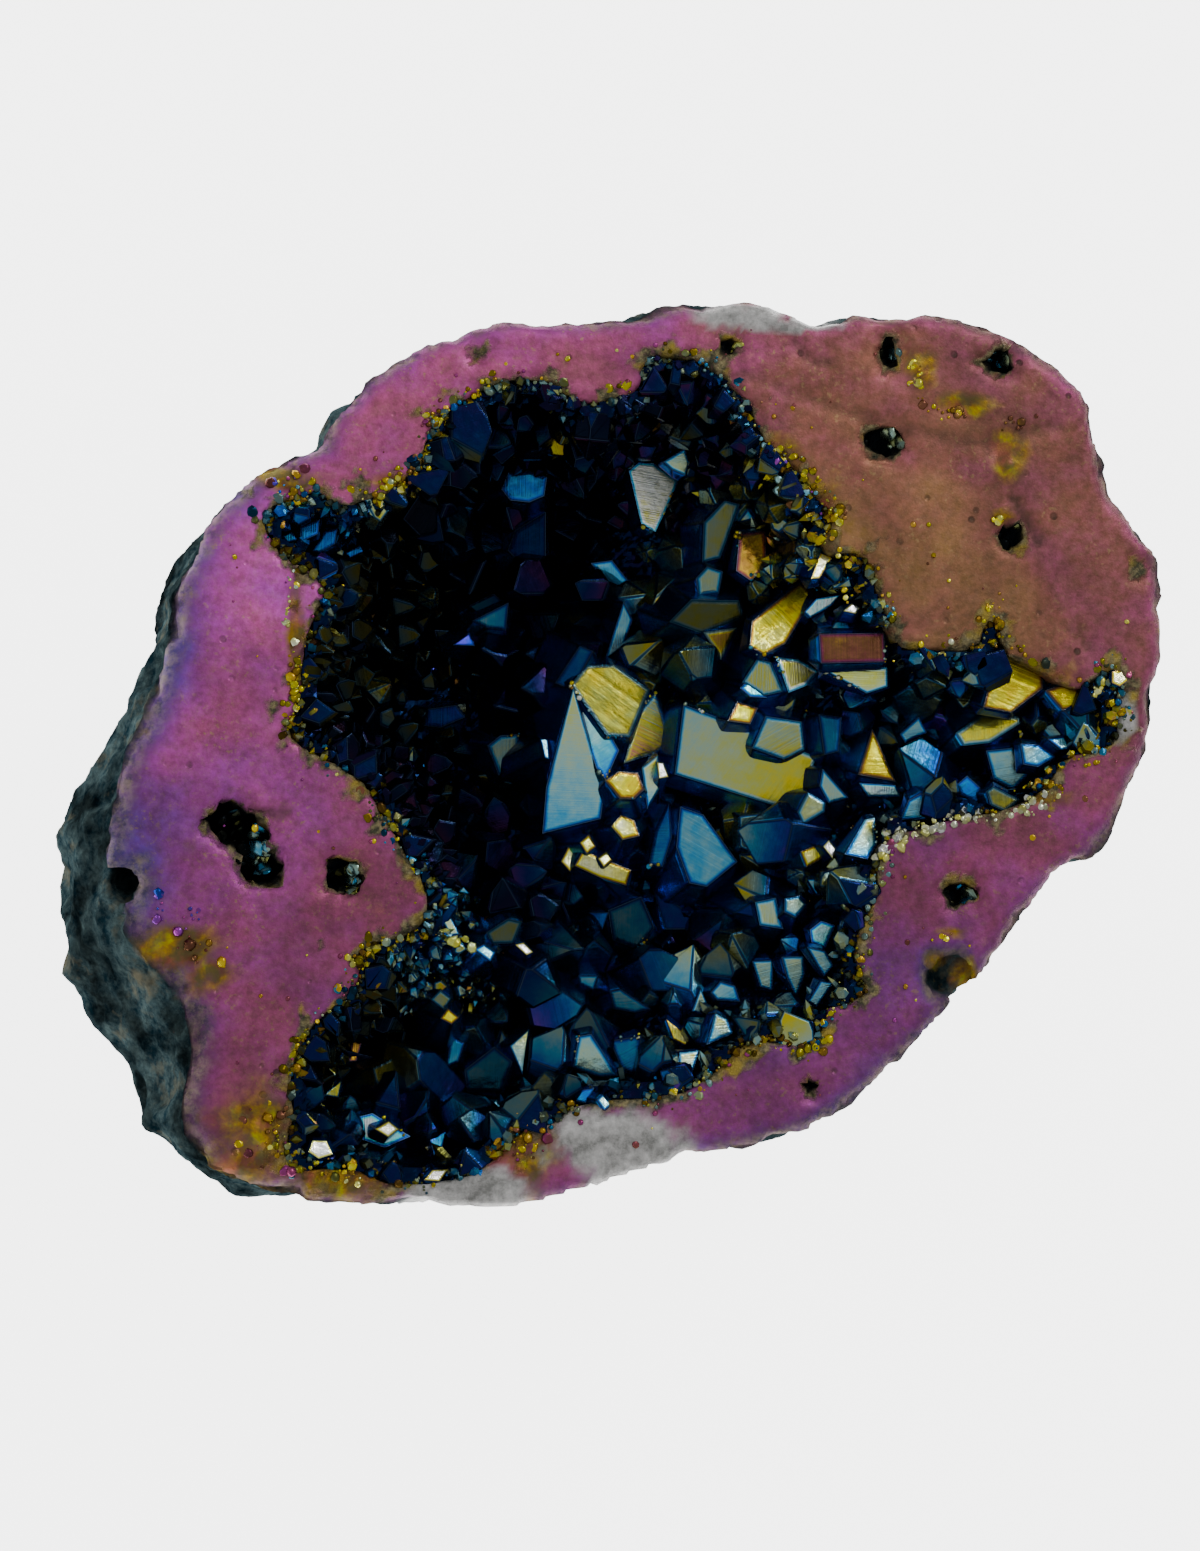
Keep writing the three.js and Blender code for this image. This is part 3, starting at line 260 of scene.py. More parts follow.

# Where the crystals of the hollow change: x, y, reach, size, brightness, thinnest and thickest film.
# The brightness is partly painted shade: lowest in the deepest zones of the hollow.
CRYSTAL_ZONES = [
    (-15, 10, 9, 1.1, 0.06, 0.90, 1.02), (-16, -2, 7, 1.1, 0.07, 0.55, 0.70),
    (-25, 20, 4, 1.7, 1.10, 0.68, 0.74), (-6, 26, 8, 1.5, 0.11, 0.60, 0.72),
    (7, 29, 5, 1.1, 0.15, 0.54, 0.68), (-3, 12, 8, 1.8, 0.15, 0.62, 0.72),
    (8, 12, 6, 2.0, 0.75, 0.86, 1.00), (13, 21, 3, 1.5, 0.75, 0.88, 1.04),
    (25, 4, 7, 2.2, 0.45, 0.70, 0.94), (36, 3, 6, 2.0, 0.65, 0.76, 1.00),
    (18, -17, 6, 2.1, 0.80, 0.84, 0.95), (6, -12, 6, 2.2, 0.28, 0.62, 0.76),
    (8, -26, 5, 2.3, 0.80, 0.82, 0.94), (0, -20, 6, 2.2, 0.35, 0.70, 0.88),
    (-13, -17, 5, 0.6, 0.80, 0.76, 0.98), (-20, -24, 5, 1.0, 0.07, 0.90, 1.02),
    (-9, -27, 5, 2.1, 0.42, 0.76, 0.90), (-18, -32, 6, 1.9, 0.36, 0.68, 0.82),
    (-5, -7, 6, 1.6, 0.14, 0.62, 0.74), (2, 0, 6, 1.8, 0.38, 0.72, 0.92),
    (13, 1, 5, 1.9, 0.65, 0.84, 1.02), (17, 19, 3, 1.1, 0.90, 0.92, 1.03),
]

# ---- shared helpers ------------------------------------------------------------------------


def compass(degrees):
    return np.array([math.cos(math.radians(degrees)), math.sin(math.radians(degrees))])


def unit(vectors):
    vectors = np.asarray(vectors, float)
    return vectors / np.maximum(np.linalg.norm(vectors, axis=-1, keepdims=True), TINY)


def tangent(degrees):
    return math.tan(math.radians(degrees))


SIGHT = unit([-tangent(VIEW_TILT["left"]), -tangent(VIEW_TILT["front"]), 1])  # towards the camera
CAMERA_RIGHT = unit(np.cross([0, 1, 0], SIGHT))
CAMERA_UP = np.cross(SIGHT, CAMERA_RIGHT)


def view_step(start, end):
    """The step in the plane of the view from one place in it to another, in millimetres."""
    across, down = np.subtract(end, start) / VIEW_SCALE
    return CAMERA_RIGHT * across - CAMERA_UP * down


EYE = np.array([0, 0, FACE_Z]) + view_step(ORIGIN_SEEN_AT, VIEW_MIDDLE) + SIGHT * CAMERA_FAR


def place_seen_at(place, depth, digits=1):
    """x and y, rounded, of what shows at a place in the view, at a depth below the sawn face."""
    sight = view_step(VIEW_MIDDLE, place) - SIGHT * CAMERA_FAR
    reach = (FACE_Z - depth - EYE[2]) / sight[2]
    return np.round(EYE[:2] + reach * sight[:2], digits)


HOLLOW_DEPTHS = np.array([[*place_seen_at(row[:2], row[2], 0), row[2]] for row in DEPTHS_SEEN])


def smooth(value, low, high):
    share = np.clip((value - low) / (high - low), 0, 1)
    return share * share * (3 - 2 * share)


def merged_mesh(node):
    mesh = bmesh.new()
    mesh.from_mesh(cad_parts[node].data)
    bmesh.ops.remove_doubles(mesh, verts=mesh.verts, dist=MERGE_WITHIN)
    return mesh


LOOP_START = np.array([-22.8, -19.4])  # every loop starts at its corner nearest to this place


def face_loops():
    """Closed lines where the sawn face ends, in millimetres, largest first: the outline, the rim of
    the hollow, then the rims of the pits. Their starts are set, because random places are drawn
    along them."""
    mesh = merged_mesh("geode_rock")
    top = FACE_Z * MM - FACE_SLACK
    flat = [face for face in mesh.faces if min(v.co.z for v in face.verts) > top]
    on_top = set(flat)
    follow = {}
    for face in flat:
        for loop in face.loops:
            if not any(other in on_top for other in loop.edge.link_faces if other is not face):
                follow[loop.vert] = loop.link_loop_next.vert
    lines = []
    while follow:
        start, point = follow.popitem()
        line = [start.co.xy[:]]
        while point in follow:
            line.append(point.co.xy[:])
            point = follow.pop(point)
        line = np.array(line) / MM
        first = np.linalg.norm(line - LOOP_START, axis=1).argmin()
        lines.append(np.roll(line, -first, axis=0))
    mesh.free()
    return sorted(lines, key=lambda line: -abs(area_of(line)))


def area_of(line):
    after = np.roll(line, -1, axis=0)
    return 0.5 * float(np.sum(line[:, 0] * after[:, 1] - line[:, 1] * after[:, 0]))


def line_distance(points, line):
    """Distance from each point to a closed line."""
    after = np.roll(line, -1, axis=0)
    nearest = np.full(len(points), np.inf)
    for a, b in zip(line, after):
        along = b - a
        share = np.clip(((points - a) @ along) / max(along @ along, TINY), 0, 1)
        gap = points - a - share[:, None] * along
        nearest = np.minimum(nearest, np.hypot(gap[:, 0], gap[:, 1]))
    return nearest


def is_inside(points, line):
    inside = np.zeros(len(points), bool)
    for (ax, ay), (bx, by) in zip(line, np.roll(line, -1, axis=0)):
        if ay == by:
            continue
        spans = (ay > points[:, 1]) != (by > points[:, 1])
        crossing = (bx - ax) * (points[:, 1] - ay) / (by - ay) + ax
        inside ^= spans & (points[:, 0] < crossing)
    return inside


LOOPS = face_loops()
OUTLINE, RIM = LOOPS[0], LOOPS[1]
PITS = LOOPS[2:]


def inset(points):
    """Distance in from the rim of the hollow, negative outside it."""
    distance = line_distance(points, RIM)
    return np.where(is_inside(points, RIM), distance, -distance)


def influence(points, places, spread):
    """How much each place counts at each point: less the farther off it is."""
    return (((points[:, None, :] - (places - FACE_MIDDLE)[None]) ** 2).sum(2) + spread) ** -1.5


def base_depth(points):
    weights = influence(points, HOLLOW_DEPTHS[:, :2], 1)
    return (weights * HOLLOW_DEPTHS[:, 2]).sum(1) / weights.sum(1)


def ground_depth(points):
    """Depth of the crystals' ground below the sawn face."""
    run = np.clip((inset(points) - RIM_WIDTH) / WALL_RUN, 0, 1)
    return RIM_DEPTH + (base_depth(points) - RIM_DEPTH) * np.sqrt(1 - (1 - run) ** 2)


# Uneven patterns, each by its size in millimetres, octaves and seed.
PATTERNS = {
    "rind edge": (2.0, 3, 1), "swell": (7.0, 2, 2), "crag": (4.6, 4, 3), "grit": (1.3, 3, 4),
    "notch": (3.6, 3, 5), "wave": (4.0, 3, 7), "bare": (2.2, 4, 8), "wander across": (1.4, 3, 9),
    "wander along": (1.4, 3, 10), "ragged": (2.4, 3, 11), "gold": (2.4, 4, 12), "knob": (1.0, 2, 14),
    "broad knob": (2.4, 2, 15), "crust": (0.9, 2, 16), "pit wall": (1.1, 3, 17),
    "crack": (1.5, 2, 18), "bare foot": (3.0, 4, 19), "ground": (0.9, 3, 21), "lump": (0.8, 2, 31),
}
SEED_STEP = (17.3, 5.7, 11.9)  # how far apart the patterns of two seeds lie


def pattern(points, name):
    """Smooth random values about 0."""
    size, octaves, seed = PATTERNS[name]
    shift = Vector([seed * step for step in SEED_STEP])
    return np.array([noise.fractal(Vector(p) / size + shift, 1.0, 2.0, octaves) for p in points])


def patchy(plan, seed, size):
    """Slow random values about 0 over the face."""
    return np.array([noise.noise(Vector((*point, seed)) / size) for point in plan])


def mesh_piece(name, vertices, faces, attributes, material, node):
    """A piece from vertices in millimetres, with one float attribute per entry of attributes."""
    mesh = bpy.data.meshes.new(name)
    mesh.from_pydata((np.asarray(vertices) * MM).tolist(), [], faces)
    for key, values in attributes.items():
        layer = mesh.attributes.new(key, "FLOAT", "POINT")
        layer.data.foreach_set("value", np.asarray(values, np.float32))
    mesh.materials.append(material)
    piece = bpy.data.objects.new(name, mesh)
    bpy.context.scene.collection.objects.link(piece)
    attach(piece, "root")
    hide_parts(node)
    return piece


# ---- shader groups -------------------------------------------------------------------------


class Graph:
    """Short forms for building a node tree."""

    def __init__(self, tree):
        self.tree = tree

    def node(self, kind, inputs=None, **settings):
        node = self.tree.nodes.new(kind)
        for key, value in settings.items():
            setattr(node, key, value)
        self.fill(node, inputs or {})
        return node

    def feed(self, socket, value):
        if isinstance(value, bpy.types.NodeSocket):
            self.tree.links.new(value, socket)
        elif isinstance(value, tuple) and len(value) == 3 and socket.type == "RGBA":
            socket.default_value = (*value, 1)
        else:
            socket.default_value = value

    def fill(self, node, inputs):
        for key, value in inputs.items():
            self.feed(node.inputs[key], value)

    def attribute(self, name):
        return self.node("ShaderNodeAttribute", attribute_name=name).outputs["Fac"]

    def math(self, operation, a, b=0.0, clamp=False):
        node = self.node("ShaderNodeMath", operation=operation, use_clamp=clamp)
        self.feed(node.inputs[0], a)
        self.feed(node.inputs[1], b)
        return node.outputs[0]

    def times(self, a, b):
        return self.math("MULTIPLY", a, b)

    def mix(self, share, a, b):
        node = self.node("ShaderNodeMix", data_type="RGBA")
        self.feed(node.inputs[0], share)
        self.feed(node.inputs[6], a)
        self.feed(node.inputs[7], b)
        return node.outputs[2]

    def blend(self, share, a, b):
        node = self.node("ShaderNodeMix", data_type="FLOAT")
        self.feed(node.inputs[0], share)
        self.feed(node.inputs[2], a)
        self.feed(node.inputs[3], b)
        return node.outputs[0]

    def scaled(self, value, low, high, new_low=0.0, new_high=1.0):
        inputs = {"Value": value, "From Min": low, "From Max": high, "To Min": new_low, "To Max": new_high}
        return self.node("ShaderNodeMapRange", inputs).outputs["Result"]

    def noise(self, size_mm, detail=3.0, roughness=0.55, distortion=0.0):
        inputs = {"Vector": self.place(), "Scale": 1 / (size_mm * MM), "Detail": detail,
                  "Roughness": roughness, "Distortion": distortion}
        return self.node("ShaderNodeTexNoise", inputs).outputs["Fac"]

    def patches(self, texture, limits, values=(0.0, 1.0)):
        """Noise by its size, detail and roughness, spread from the limits onto the values."""
        return self.scaled(self.noise(*texture), *limits, *values)

    def bumps(self, height, strength, depth_mm):
        inputs = {"Height": height, "Strength": strength, "Distance": depth_mm * MM}
        return self.node("ShaderNodeBump", inputs).outputs["Normal"]

    def cells(self, size_mm):
        inputs = {"Vector": self.place(), "Scale": 1 / (size_mm * MM)}
        return self.node("ShaderNodeTexVoronoi", inputs).outputs["Distance"]

    def place(self):
        return self.node("ShaderNodeTexCoord").outputs["Object"]

    def scale_colour(self, colour, factor):
        node = self.node("ShaderNodeVectorMath", operation="SCALE")
        self.feed(node.inputs[0], colour)
        self.feed(node.inputs["Scale"], factor)
        return node.outputs[0]

    def sum(self, *values):
        total = values[0]
        for value in values[1:]:
            total = self.math("ADD", total, value)
        return total


def new_group(name, inputs, outputs):
    tree = bpy.data.node_groups.new(name, "ShaderNodeTree")
    for key, value in inputs.items():
        socket = tree.interface.new_socket(key, in_out="INPUT", socket_type="NodeSocketFloat")
        socket.default_value = value
    for key, kind in outputs.items():
        tree.interface.new_socket(key, in_out="OUTPUT", socket_type=kind)
    return tree, Graph(tree), tree.nodes.new("NodeGroupInput"), tree.nodes.new("NodeGroupOutput")


# Colours of a thin film as it thickens, each with the thickness it stands at.
FILM_COLOURS = [
    (0.00, (0.80, 0.84, 0.82)), (0.08, (0.80, 0.83, 0.34)), (0.14, (0.82, 0.75, 0.0)),
    (0.20, (0.60, 0.35, 0.02)), (0.27, (0.25, 0.12, 0.045)), (0.33, (0.24, 0.075, 0.06)),
    (0.40, (0.34, 0.055, 0.17)), (0.46, (0.30, 0.04, 0.26)), (0.52, (0.20, 0.04, 0.32)),
    (0.58, (0.08, 0.04, 0.40)), (0.64, (0.01, 0.04, 0.34)), (0.70, (0.005, 0.12, 0.46)),
    (0.77, (0.04, 0.32, 0.55)), (0.83, (0.22, 0.46, 0.50)), (0.89, (0.38, 0.50, 0.33)),
    (0.95, (0.48, 0.51, 0.08)), (1.00, (0.66, 0.54, 0.0)), (1.06, (0.62, 0.30, 0.12)),
    (1.12, (0.50, 0.14, 0.28)), (1.20, (0.25, 0.10, 0.40)),
]


def film_tint_group():
    """Thickness in, colour out."""
    tree, graph, entry, leave = new_group("Film tint", {"Thickness": 0.5}, {"Color": "NodeSocketColor"})
    thickest = FILM_COLOURS[-1][0]
    share = graph.math("DIVIDE", entry.outputs["Thickness"], thickest, clamp=True)
    ramp = graph.node("ShaderNodeValToRGB", {"Fac": share})
    stops = ramp.color_ramp.elements
    for index, (thickness, colour) in enumerate(FILM_COLOURS):
        stop = stops[index] if index < 2 else stops.new(thickness / thickest)
        stop.position = thickness / thickest
        stop.color = (*colour, 1)
    tree.links.new(ramp.outputs["Color"], leave.inputs["Color"])
    return tree


def fine_grain_group():
    """Small random bumps of two sizes, and a slow blotch from 0 to 1."""
    outputs = {"Bump": "NodeSocketFloat", "Blotch": "NodeSocketFloat"}
    tree, graph, entry, leave = new_group("Fine grain", {"Coarse": 0.5}, outputs)
    bump = graph.blend(entry.outputs["Coarse"], graph.noise(0.22, 4), graph.noise(1.6, 4))
    tree.links.new(bump, leave.inputs["Bump"])
    tree.links.new(graph.patches((5.0, 3, 0.5), (0.3, 0.7)), leave.inputs["Blotch"])
    return tree


FILM_TINT = film_tint_group()
FINE_GRAIN = fine_grain_group()


def film_colour(graph, thickness):
    node = graph.node("ShaderNodeGroup", node_tree=FILM_TINT)
    graph.feed(node.inputs["Thickness"], thickness)
    return node.outputs["Color"]


def grain(graph, output, coarse=0.5):
    node = graph.node("ShaderNodeGroup", node_tree=FINE_GRAIN)
    node.inputs["Coarse"].default_value = coarse
    return node.outputs[output]


def new_material(name):
    material = bpy.data.materials.new(name)
    material.use_nodes = True
    return material, Graph(material.node_tree), material.node_tree.nodes["Principled BSDF"]


# ---- materials -----------------------------------------------------------------------------

COLOURS = {
    "dust": (0.20, 0.10, 0.07), "fleck": (0.34, 0.21, 0.09), "pore": (0.05, 0.03, 0.02),
    "crack": (0.04, 0.025, 0.018), "haze": (0.30, 0.36, 0.30), "olive": (0.125, 0.105, 0.045),
    "rose": (0.30, 0.085, 0.06), "dark crust": (0.07, 0.07, 0.045), "pale crust": (0.30, 0.25, 0.13),
    "gold crust": (0.34, 0.25, 0.05), "dark edge": (0.035, 0.042, 0.040),
    "tan edge": (0.22, 0.185, 0.12), "dark rind": (0.002, 0.007, 0.010),
    "grey rind": (0.028, 0.042, 0.042), "ochre": (0.12, 0.105, 0.065),
    # The pit colour is painted shade, laid near-black inside the pits.
    "grey quartz": (0.20, 0.20, 0.19), "white quartz": (0.62, 0.61, 0.60), "pit": (0.004, 0.006, 0.008),
    # The pale cyan laid on the crystals' outermost loops is a painted highlight.
    "flat border": (0.002, 0.009, 0.020), "painted edge highlight": (0.20, 0.38, 0.45), "floor": (0.86, 0.86, 0.86),
    "pale floor": (0.90, 0.90, 0.90),
}


def laid_over(graph, colour, layers):
    """The colour with named ones laid over it in turn, each by its share."""
    for share, name in layers:
        colour = graph.mix(share, colour, COLOURS[name])
    return colour


def two_tone(graph, texture, limits, first, second):
    """Two named colours mixed by noise."""
    return laid_over(graph, COLOURS[first], [(graph.patches(texture, limits), second)])


def golden_film(graph):
    """Gold film with olive and rose blotches."""
    film = graph.patches((2.0, 4, 0.6, 0.3), (0.34, 0.66), (0.15, 0.31))
    return laid_over(graph, graph.scale_colour(film_colour(graph, film), 0.62), [
        (graph.patches((1.9, 3, 0.6), (0.42, 0.62), (0, 0.85)), "olive"),
        (graph.patches((2.8, 3), (0.54, 0.66), (0, 0.75)), "rose"),
    ])


def coated_face(graph, speckle, lip, pores):
    """The film on the sawn face, with dust, flecks, pores and grooves."""
    drift = graph.scaled(grain(graph, "Blotch"), 0, 1, -0.03, 0.035)
    film = graph.sum(graph.attribute("film"), drift, graph.times(speckle, 0.03), graph.times(lip, 0.06))
    dust = graph.patches((0.7, 5, 0.75), (0.45, 0.72), (0.05, 0.6))
    flecks = graph.patches((0.5, 3, 0.6), (0.58, 0.68), (0, 0.6))
    coated = laid_over(graph, film_colour(graph, film), [
        (graph.times(dust, 0.7), "dust"),
        (graph.times(flecks, graph.patches((4.2, 3), (0.42, 0.62), (0.1, 1.0))), "fleck"),
        (graph.times(pores, 0.8), "pore"),
        (graph.times(graph.attribute("crack"), 0.75), "crack"),
    ])
    bright = graph.patches((5.5, 3, 0.5), (0.34, 0.66), (1.05, 1.6))
    bright = graph.times(bright, graph.patches((0.9, 5, 0.75), (0.36, 0.64), (0.72, 1.22)))
    # The shade attribute scales the colour: a broad painted highlight on the left of the face and painted
    # shade to the right and below.
    coated = graph.scale_colour(coated, graph.times(graph.attribute("shade"), bright))
    return laid_over(graph, coated, [(0.06, "haze")])


def rock_material():
    """Coated sawn face, rough rind and bare quartz, told apart by the mesh's attributes."""
    material, graph, surface = new_material("Coated rock")
    rind, bare, lip = [graph.attribute(name) for name in ("rind", "bare", "lip")]
    speckle = graph.patches((0.9, 5, 0.7), (0.3, 0.7), (-0.4, 0.4))
    gold = graph.scaled(graph.sum(graph.attribute("gold"), graph.times(speckle, 0.35)), 0.25, 1.0)
    rim = graph.scaled(graph.sum(graph.attribute("rim"), speckle), 0.35, 0.95)
    worn = graph.scaled(graph.sum(lip, graph.times(speckle, 0.5)), 0.55, 1.05)
    pores = graph.scaled(graph.cells(2.3), 0.16, 0.09)
    pores = graph.times(pores, graph.patches((6.0, 2), (0.50, 0.60)))

    golden = golden_film(graph)
    crust = two_tone(graph, (0.8, 4, 0.6), (0.40, 0.62), "dark crust", "pale crust")
    crust = laid_over(graph, crust, [(graph.patches((2.6, 2), (0.52, 0.64)), "gold crust")])
    weathered = two_tone(graph, (1.2, 5, 0.7), (0.40, 0.64), "dark edge", "tan edge")
    coated = graph.mix(rim, coated_face(graph, speckle, lip, pores), crust)
    coated = graph.mix(graph.times(worn, 0.85), coated, weathered)
    coated = graph.mix(gold, coated, golden)

    stone = two_tone(graph, (1.6, 6, 0.75), (0.38, 0.70), "dark rind", "grey rind")
    stone = graph.scale_colour(stone, graph.patches((5.5, 4, 0.6, 0.4), (0.38, 0.62), (0.30, 2.3)))
    stone = laid_over(graph, stone, [(graph.patches((5.5, 4, 0.7), (0.56, 0.70), (0, 0.6)), "ochre")])
    stone = graph.mix(graph.times(gold, 0.7), stone, golden)
    milky = two_tone(graph, (1.4, 5, 0.7), (0.35, 0.7), "grey quartz", "white quartz")
    colour = graph.mix(bare, graph.mix(rind, coated, stone), milky)

    roughness = graph.scaled(grain(graph, "Blotch"), 0, 1, 0.36, 0.50)
    for share, value in ((gold, 0.34), (worn, 0.62), (rind, 0.82), (bare, 0.40)):
        roughness = graph.blend(share, roughness, value)
    coating = graph.math("SUBTRACT", graph.math("SUBTRACT", 1.0, rind), bare, clamp=True)
    coating = graph.times(coating, graph.scaled(worn, 0, 1, 1, 0.4))
    rind_bump = graph.sum(graph.noise(1.0, 6, 0.65), graph.times(graph.noise(3.2, 3), 1.4))
    face_bump = graph.times(grain(graph, "Bump", 0.35), 0.14)
    face_bump = graph.math("SUBTRACT", face_bump, graph.times(pores, 0.6))
    height = graph.sum(graph.blend(rind, face_bump, rind_bump), graph.times(rim, graph.noise(0.35, 4)))
    graph.fill(surface, {
        # Painted shade: the pits turn near-black, more so the deeper they go.
        "Base Color": laid_over(graph, colour, [(graph.attribute("pit"), "pit")]),
        "Roughness": roughness,
        "Metallic": graph.times(coating, 0.6),
        "Specular IOR Level": 0.0,
        "Coat Weight": graph.times(bare, 0.5),
        "Coat Roughness": 0.22,
        "Normal": graph.bumps(height, 0.8, 0.35),
    })
    return material


def crystal_material(name, glow, roughness):
    """Coated crystal flats. The film changes across each flat and turns deep blue at its edges, and a
    painted highlight runs along each flat's outermost loop. The tone attribute scales the colour, partly as
    painted light and shade.
    """
    material, graph, surface = new_material(name)
    edge = graph.attribute("edge")
    steps = graph.attribute("steps")
    growth = graph.math("DIVIDE", graph.attribute("grow"), 0.45)
    bands = graph.node("ShaderNodeTexNoise", {"W": growth, "Detail": 4.0}, noise_dimensions="1D")
    bands = bands.outputs["Fac"]
    cloud = graph.patches((1.3, 4, 0.6), (0.3, 0.7), (-0.03, 0.03))
    stripe = graph.times(steps, graph.scaled(bands, 0.3, 0.7, -0.09, 0.09))
    flat = film_colour(graph, graph.sum(graph.attribute("film"), cloud, stripe))
    colour = graph.mix(graph.scaled(edge, 0.0, 0.5), laid_over(graph, flat, [(0.74, "flat border")]), flat)
    # Painted highlight: pale cyan laid along the outermost loop of each flat.
    colour = laid_over(graph, colour, [(graph.scaled(edge, -0.2, -0.9, 0, 0.3), "painted edge highlight")])
    relief = graph.times(bands, graph.scaled(steps, 0, 1, 0.4, 2.5))
    height = graph.sum(relief, graph.noise(0.8, 3), graph.times(graph.noise(3.0, 2), 3.0))
    graph.fill(surface, {
        "Base Color": graph.scale_colour(colour, graph.times(graph.attribute("tone"), glow)),
        "Metallic": 0.92,
        "Roughness": graph.patches((0.9, 3), (0.35, 0.7), (roughness, roughness + 0.12)),
        "Normal": graph.bumps(height, 0.35, 0.16),
    })
    return material


def floor_material():
    material, graph, surface = new_material("Pale floor")
    graph.fill(surface, {
        "Base Color": two_tone(graph, (2.0, 5, 0.7), (0.3, 0.7), "floor", "pale floor"),
        "Roughness": 0.9,
        "Specular IOR Level": 0.0,
        "Emission Color": (1, 1, 1),
        "Emission Strength": FLOOR_GLOW,
    })
    return material


# ---- the rock ------------------------------------------------------------------------------

ROCK_GRID = 0.53  # size of the body's even faces
FACE_BAND = 0.25  # what looks up and lies this near the sawn height belongs to the face
PIT_REACH = 7.0  # the pits end above this depth
UNDERSIDE = 9.0  # below this depth, all that faces outwards or down is rind
PATCH_EDGE = 1.6  # a patch ends at this many times its half length and half width
SWELL, CRAG, GRIT = 0.5, 0.85, 0.16  # heights of the rind's unevenness, from broad to fine
WORN_SIDE = (18, 34)  # how far left of the middle the edge starts to wear and is worn most
LEAST_PIT = 9  # smallest pit, in square millimetres, whose rim is drawn out
CRACK_WIDTH, CRACK_DEPTH = 0.75, 0.25


def even_copy(node, size):
    """Corners, faces and outward directions of the CAD node, remade with even faces of that size."""
    source = merged_mesh(node)
    mesh = bpy.data.meshes.new("even_copy")
    source.to_mesh(mesh)
    source.free()
    holder = bpy.data.objects.new("even_copy", mesh)
    bpy.context.scene.collection.objects.link(holder)
    remesh = holder.modifiers.new("even", "REMESH")
    remesh.mode = "VOXEL"
    remesh.voxel_size = size * MM
    even = bpy.data.meshes.new_from_object(holder.evaluated_get(bpy.context.evaluated_depsgraph_get()))
    corners = np.empty(len(even.vertices) * 3)
    even.vertices.foreach_get("co", corners)
    outward = np.empty(len(even.vertices) * 3)
    even.vertices.foreach_get("normal", outward)
    faces = [face.vertices[:] for face in even.polygons]
    bpy.data.objects.remove(holder)
    bpy.data.meshes.remove(mesh)
    bpy.data.meshes.remove(even)
    return corners.reshape(-1, 3) / MM, outward.reshape(-1, 3), faces


def nearness(points, places):
    """How near each point is to the nearest patch: 1 well inside it, 0 outside its edge."""
    best = np.zeros(len(points))
    for place in places:
        reach = np.array([place[2], place[-1]])
        gap = np.hypot(*((points - (np.array(place[:2]) - FACE_MIDDLE)) / reach).T)
        best = np.maximum(best, np.clip(PATCH_EDGE - gap, 0, 1))
    return best


def film_on_face(points):
    """Thickness of the film at each point, and its brightness, which carries a broad painted highlight on
    the left of the face.
    """
    weights = influence(points, FACE_FILM[:, :2], 4)
    return (weights @ FACE_FILM[:, 2:] / weights.sum(1, keepdims=True)).T


def is_near_face(deep):
    return np.clip(1.5 - deep / 3, 0, 1)


def pit_marks(plan):
    """Distance to the rim of the nearest pit, and whether a point is in a pit."""
    near = np.min([line_distance(plan, pit) for pit in PITS], axis=0)
    return near, np.any([is_inside(plan, pit) for pit in PITS], axis=0)


def crack_marks(corners):
    """How strong the grooves of the face are at each corner."""
    plan = corners[:, :2]
    crack = np.zeros(len(plan))
    width = CRACK_WIDTH + 0.3 * pattern(corners, "crack")
    for strength, line in CRACKS:
        line = np.array(line + line[::-1]) - FACE_MIDDLE
        crack = np.maximum(crack, strength * smooth(width - line_distance(plan, line), 0, 0.6))
    return crack


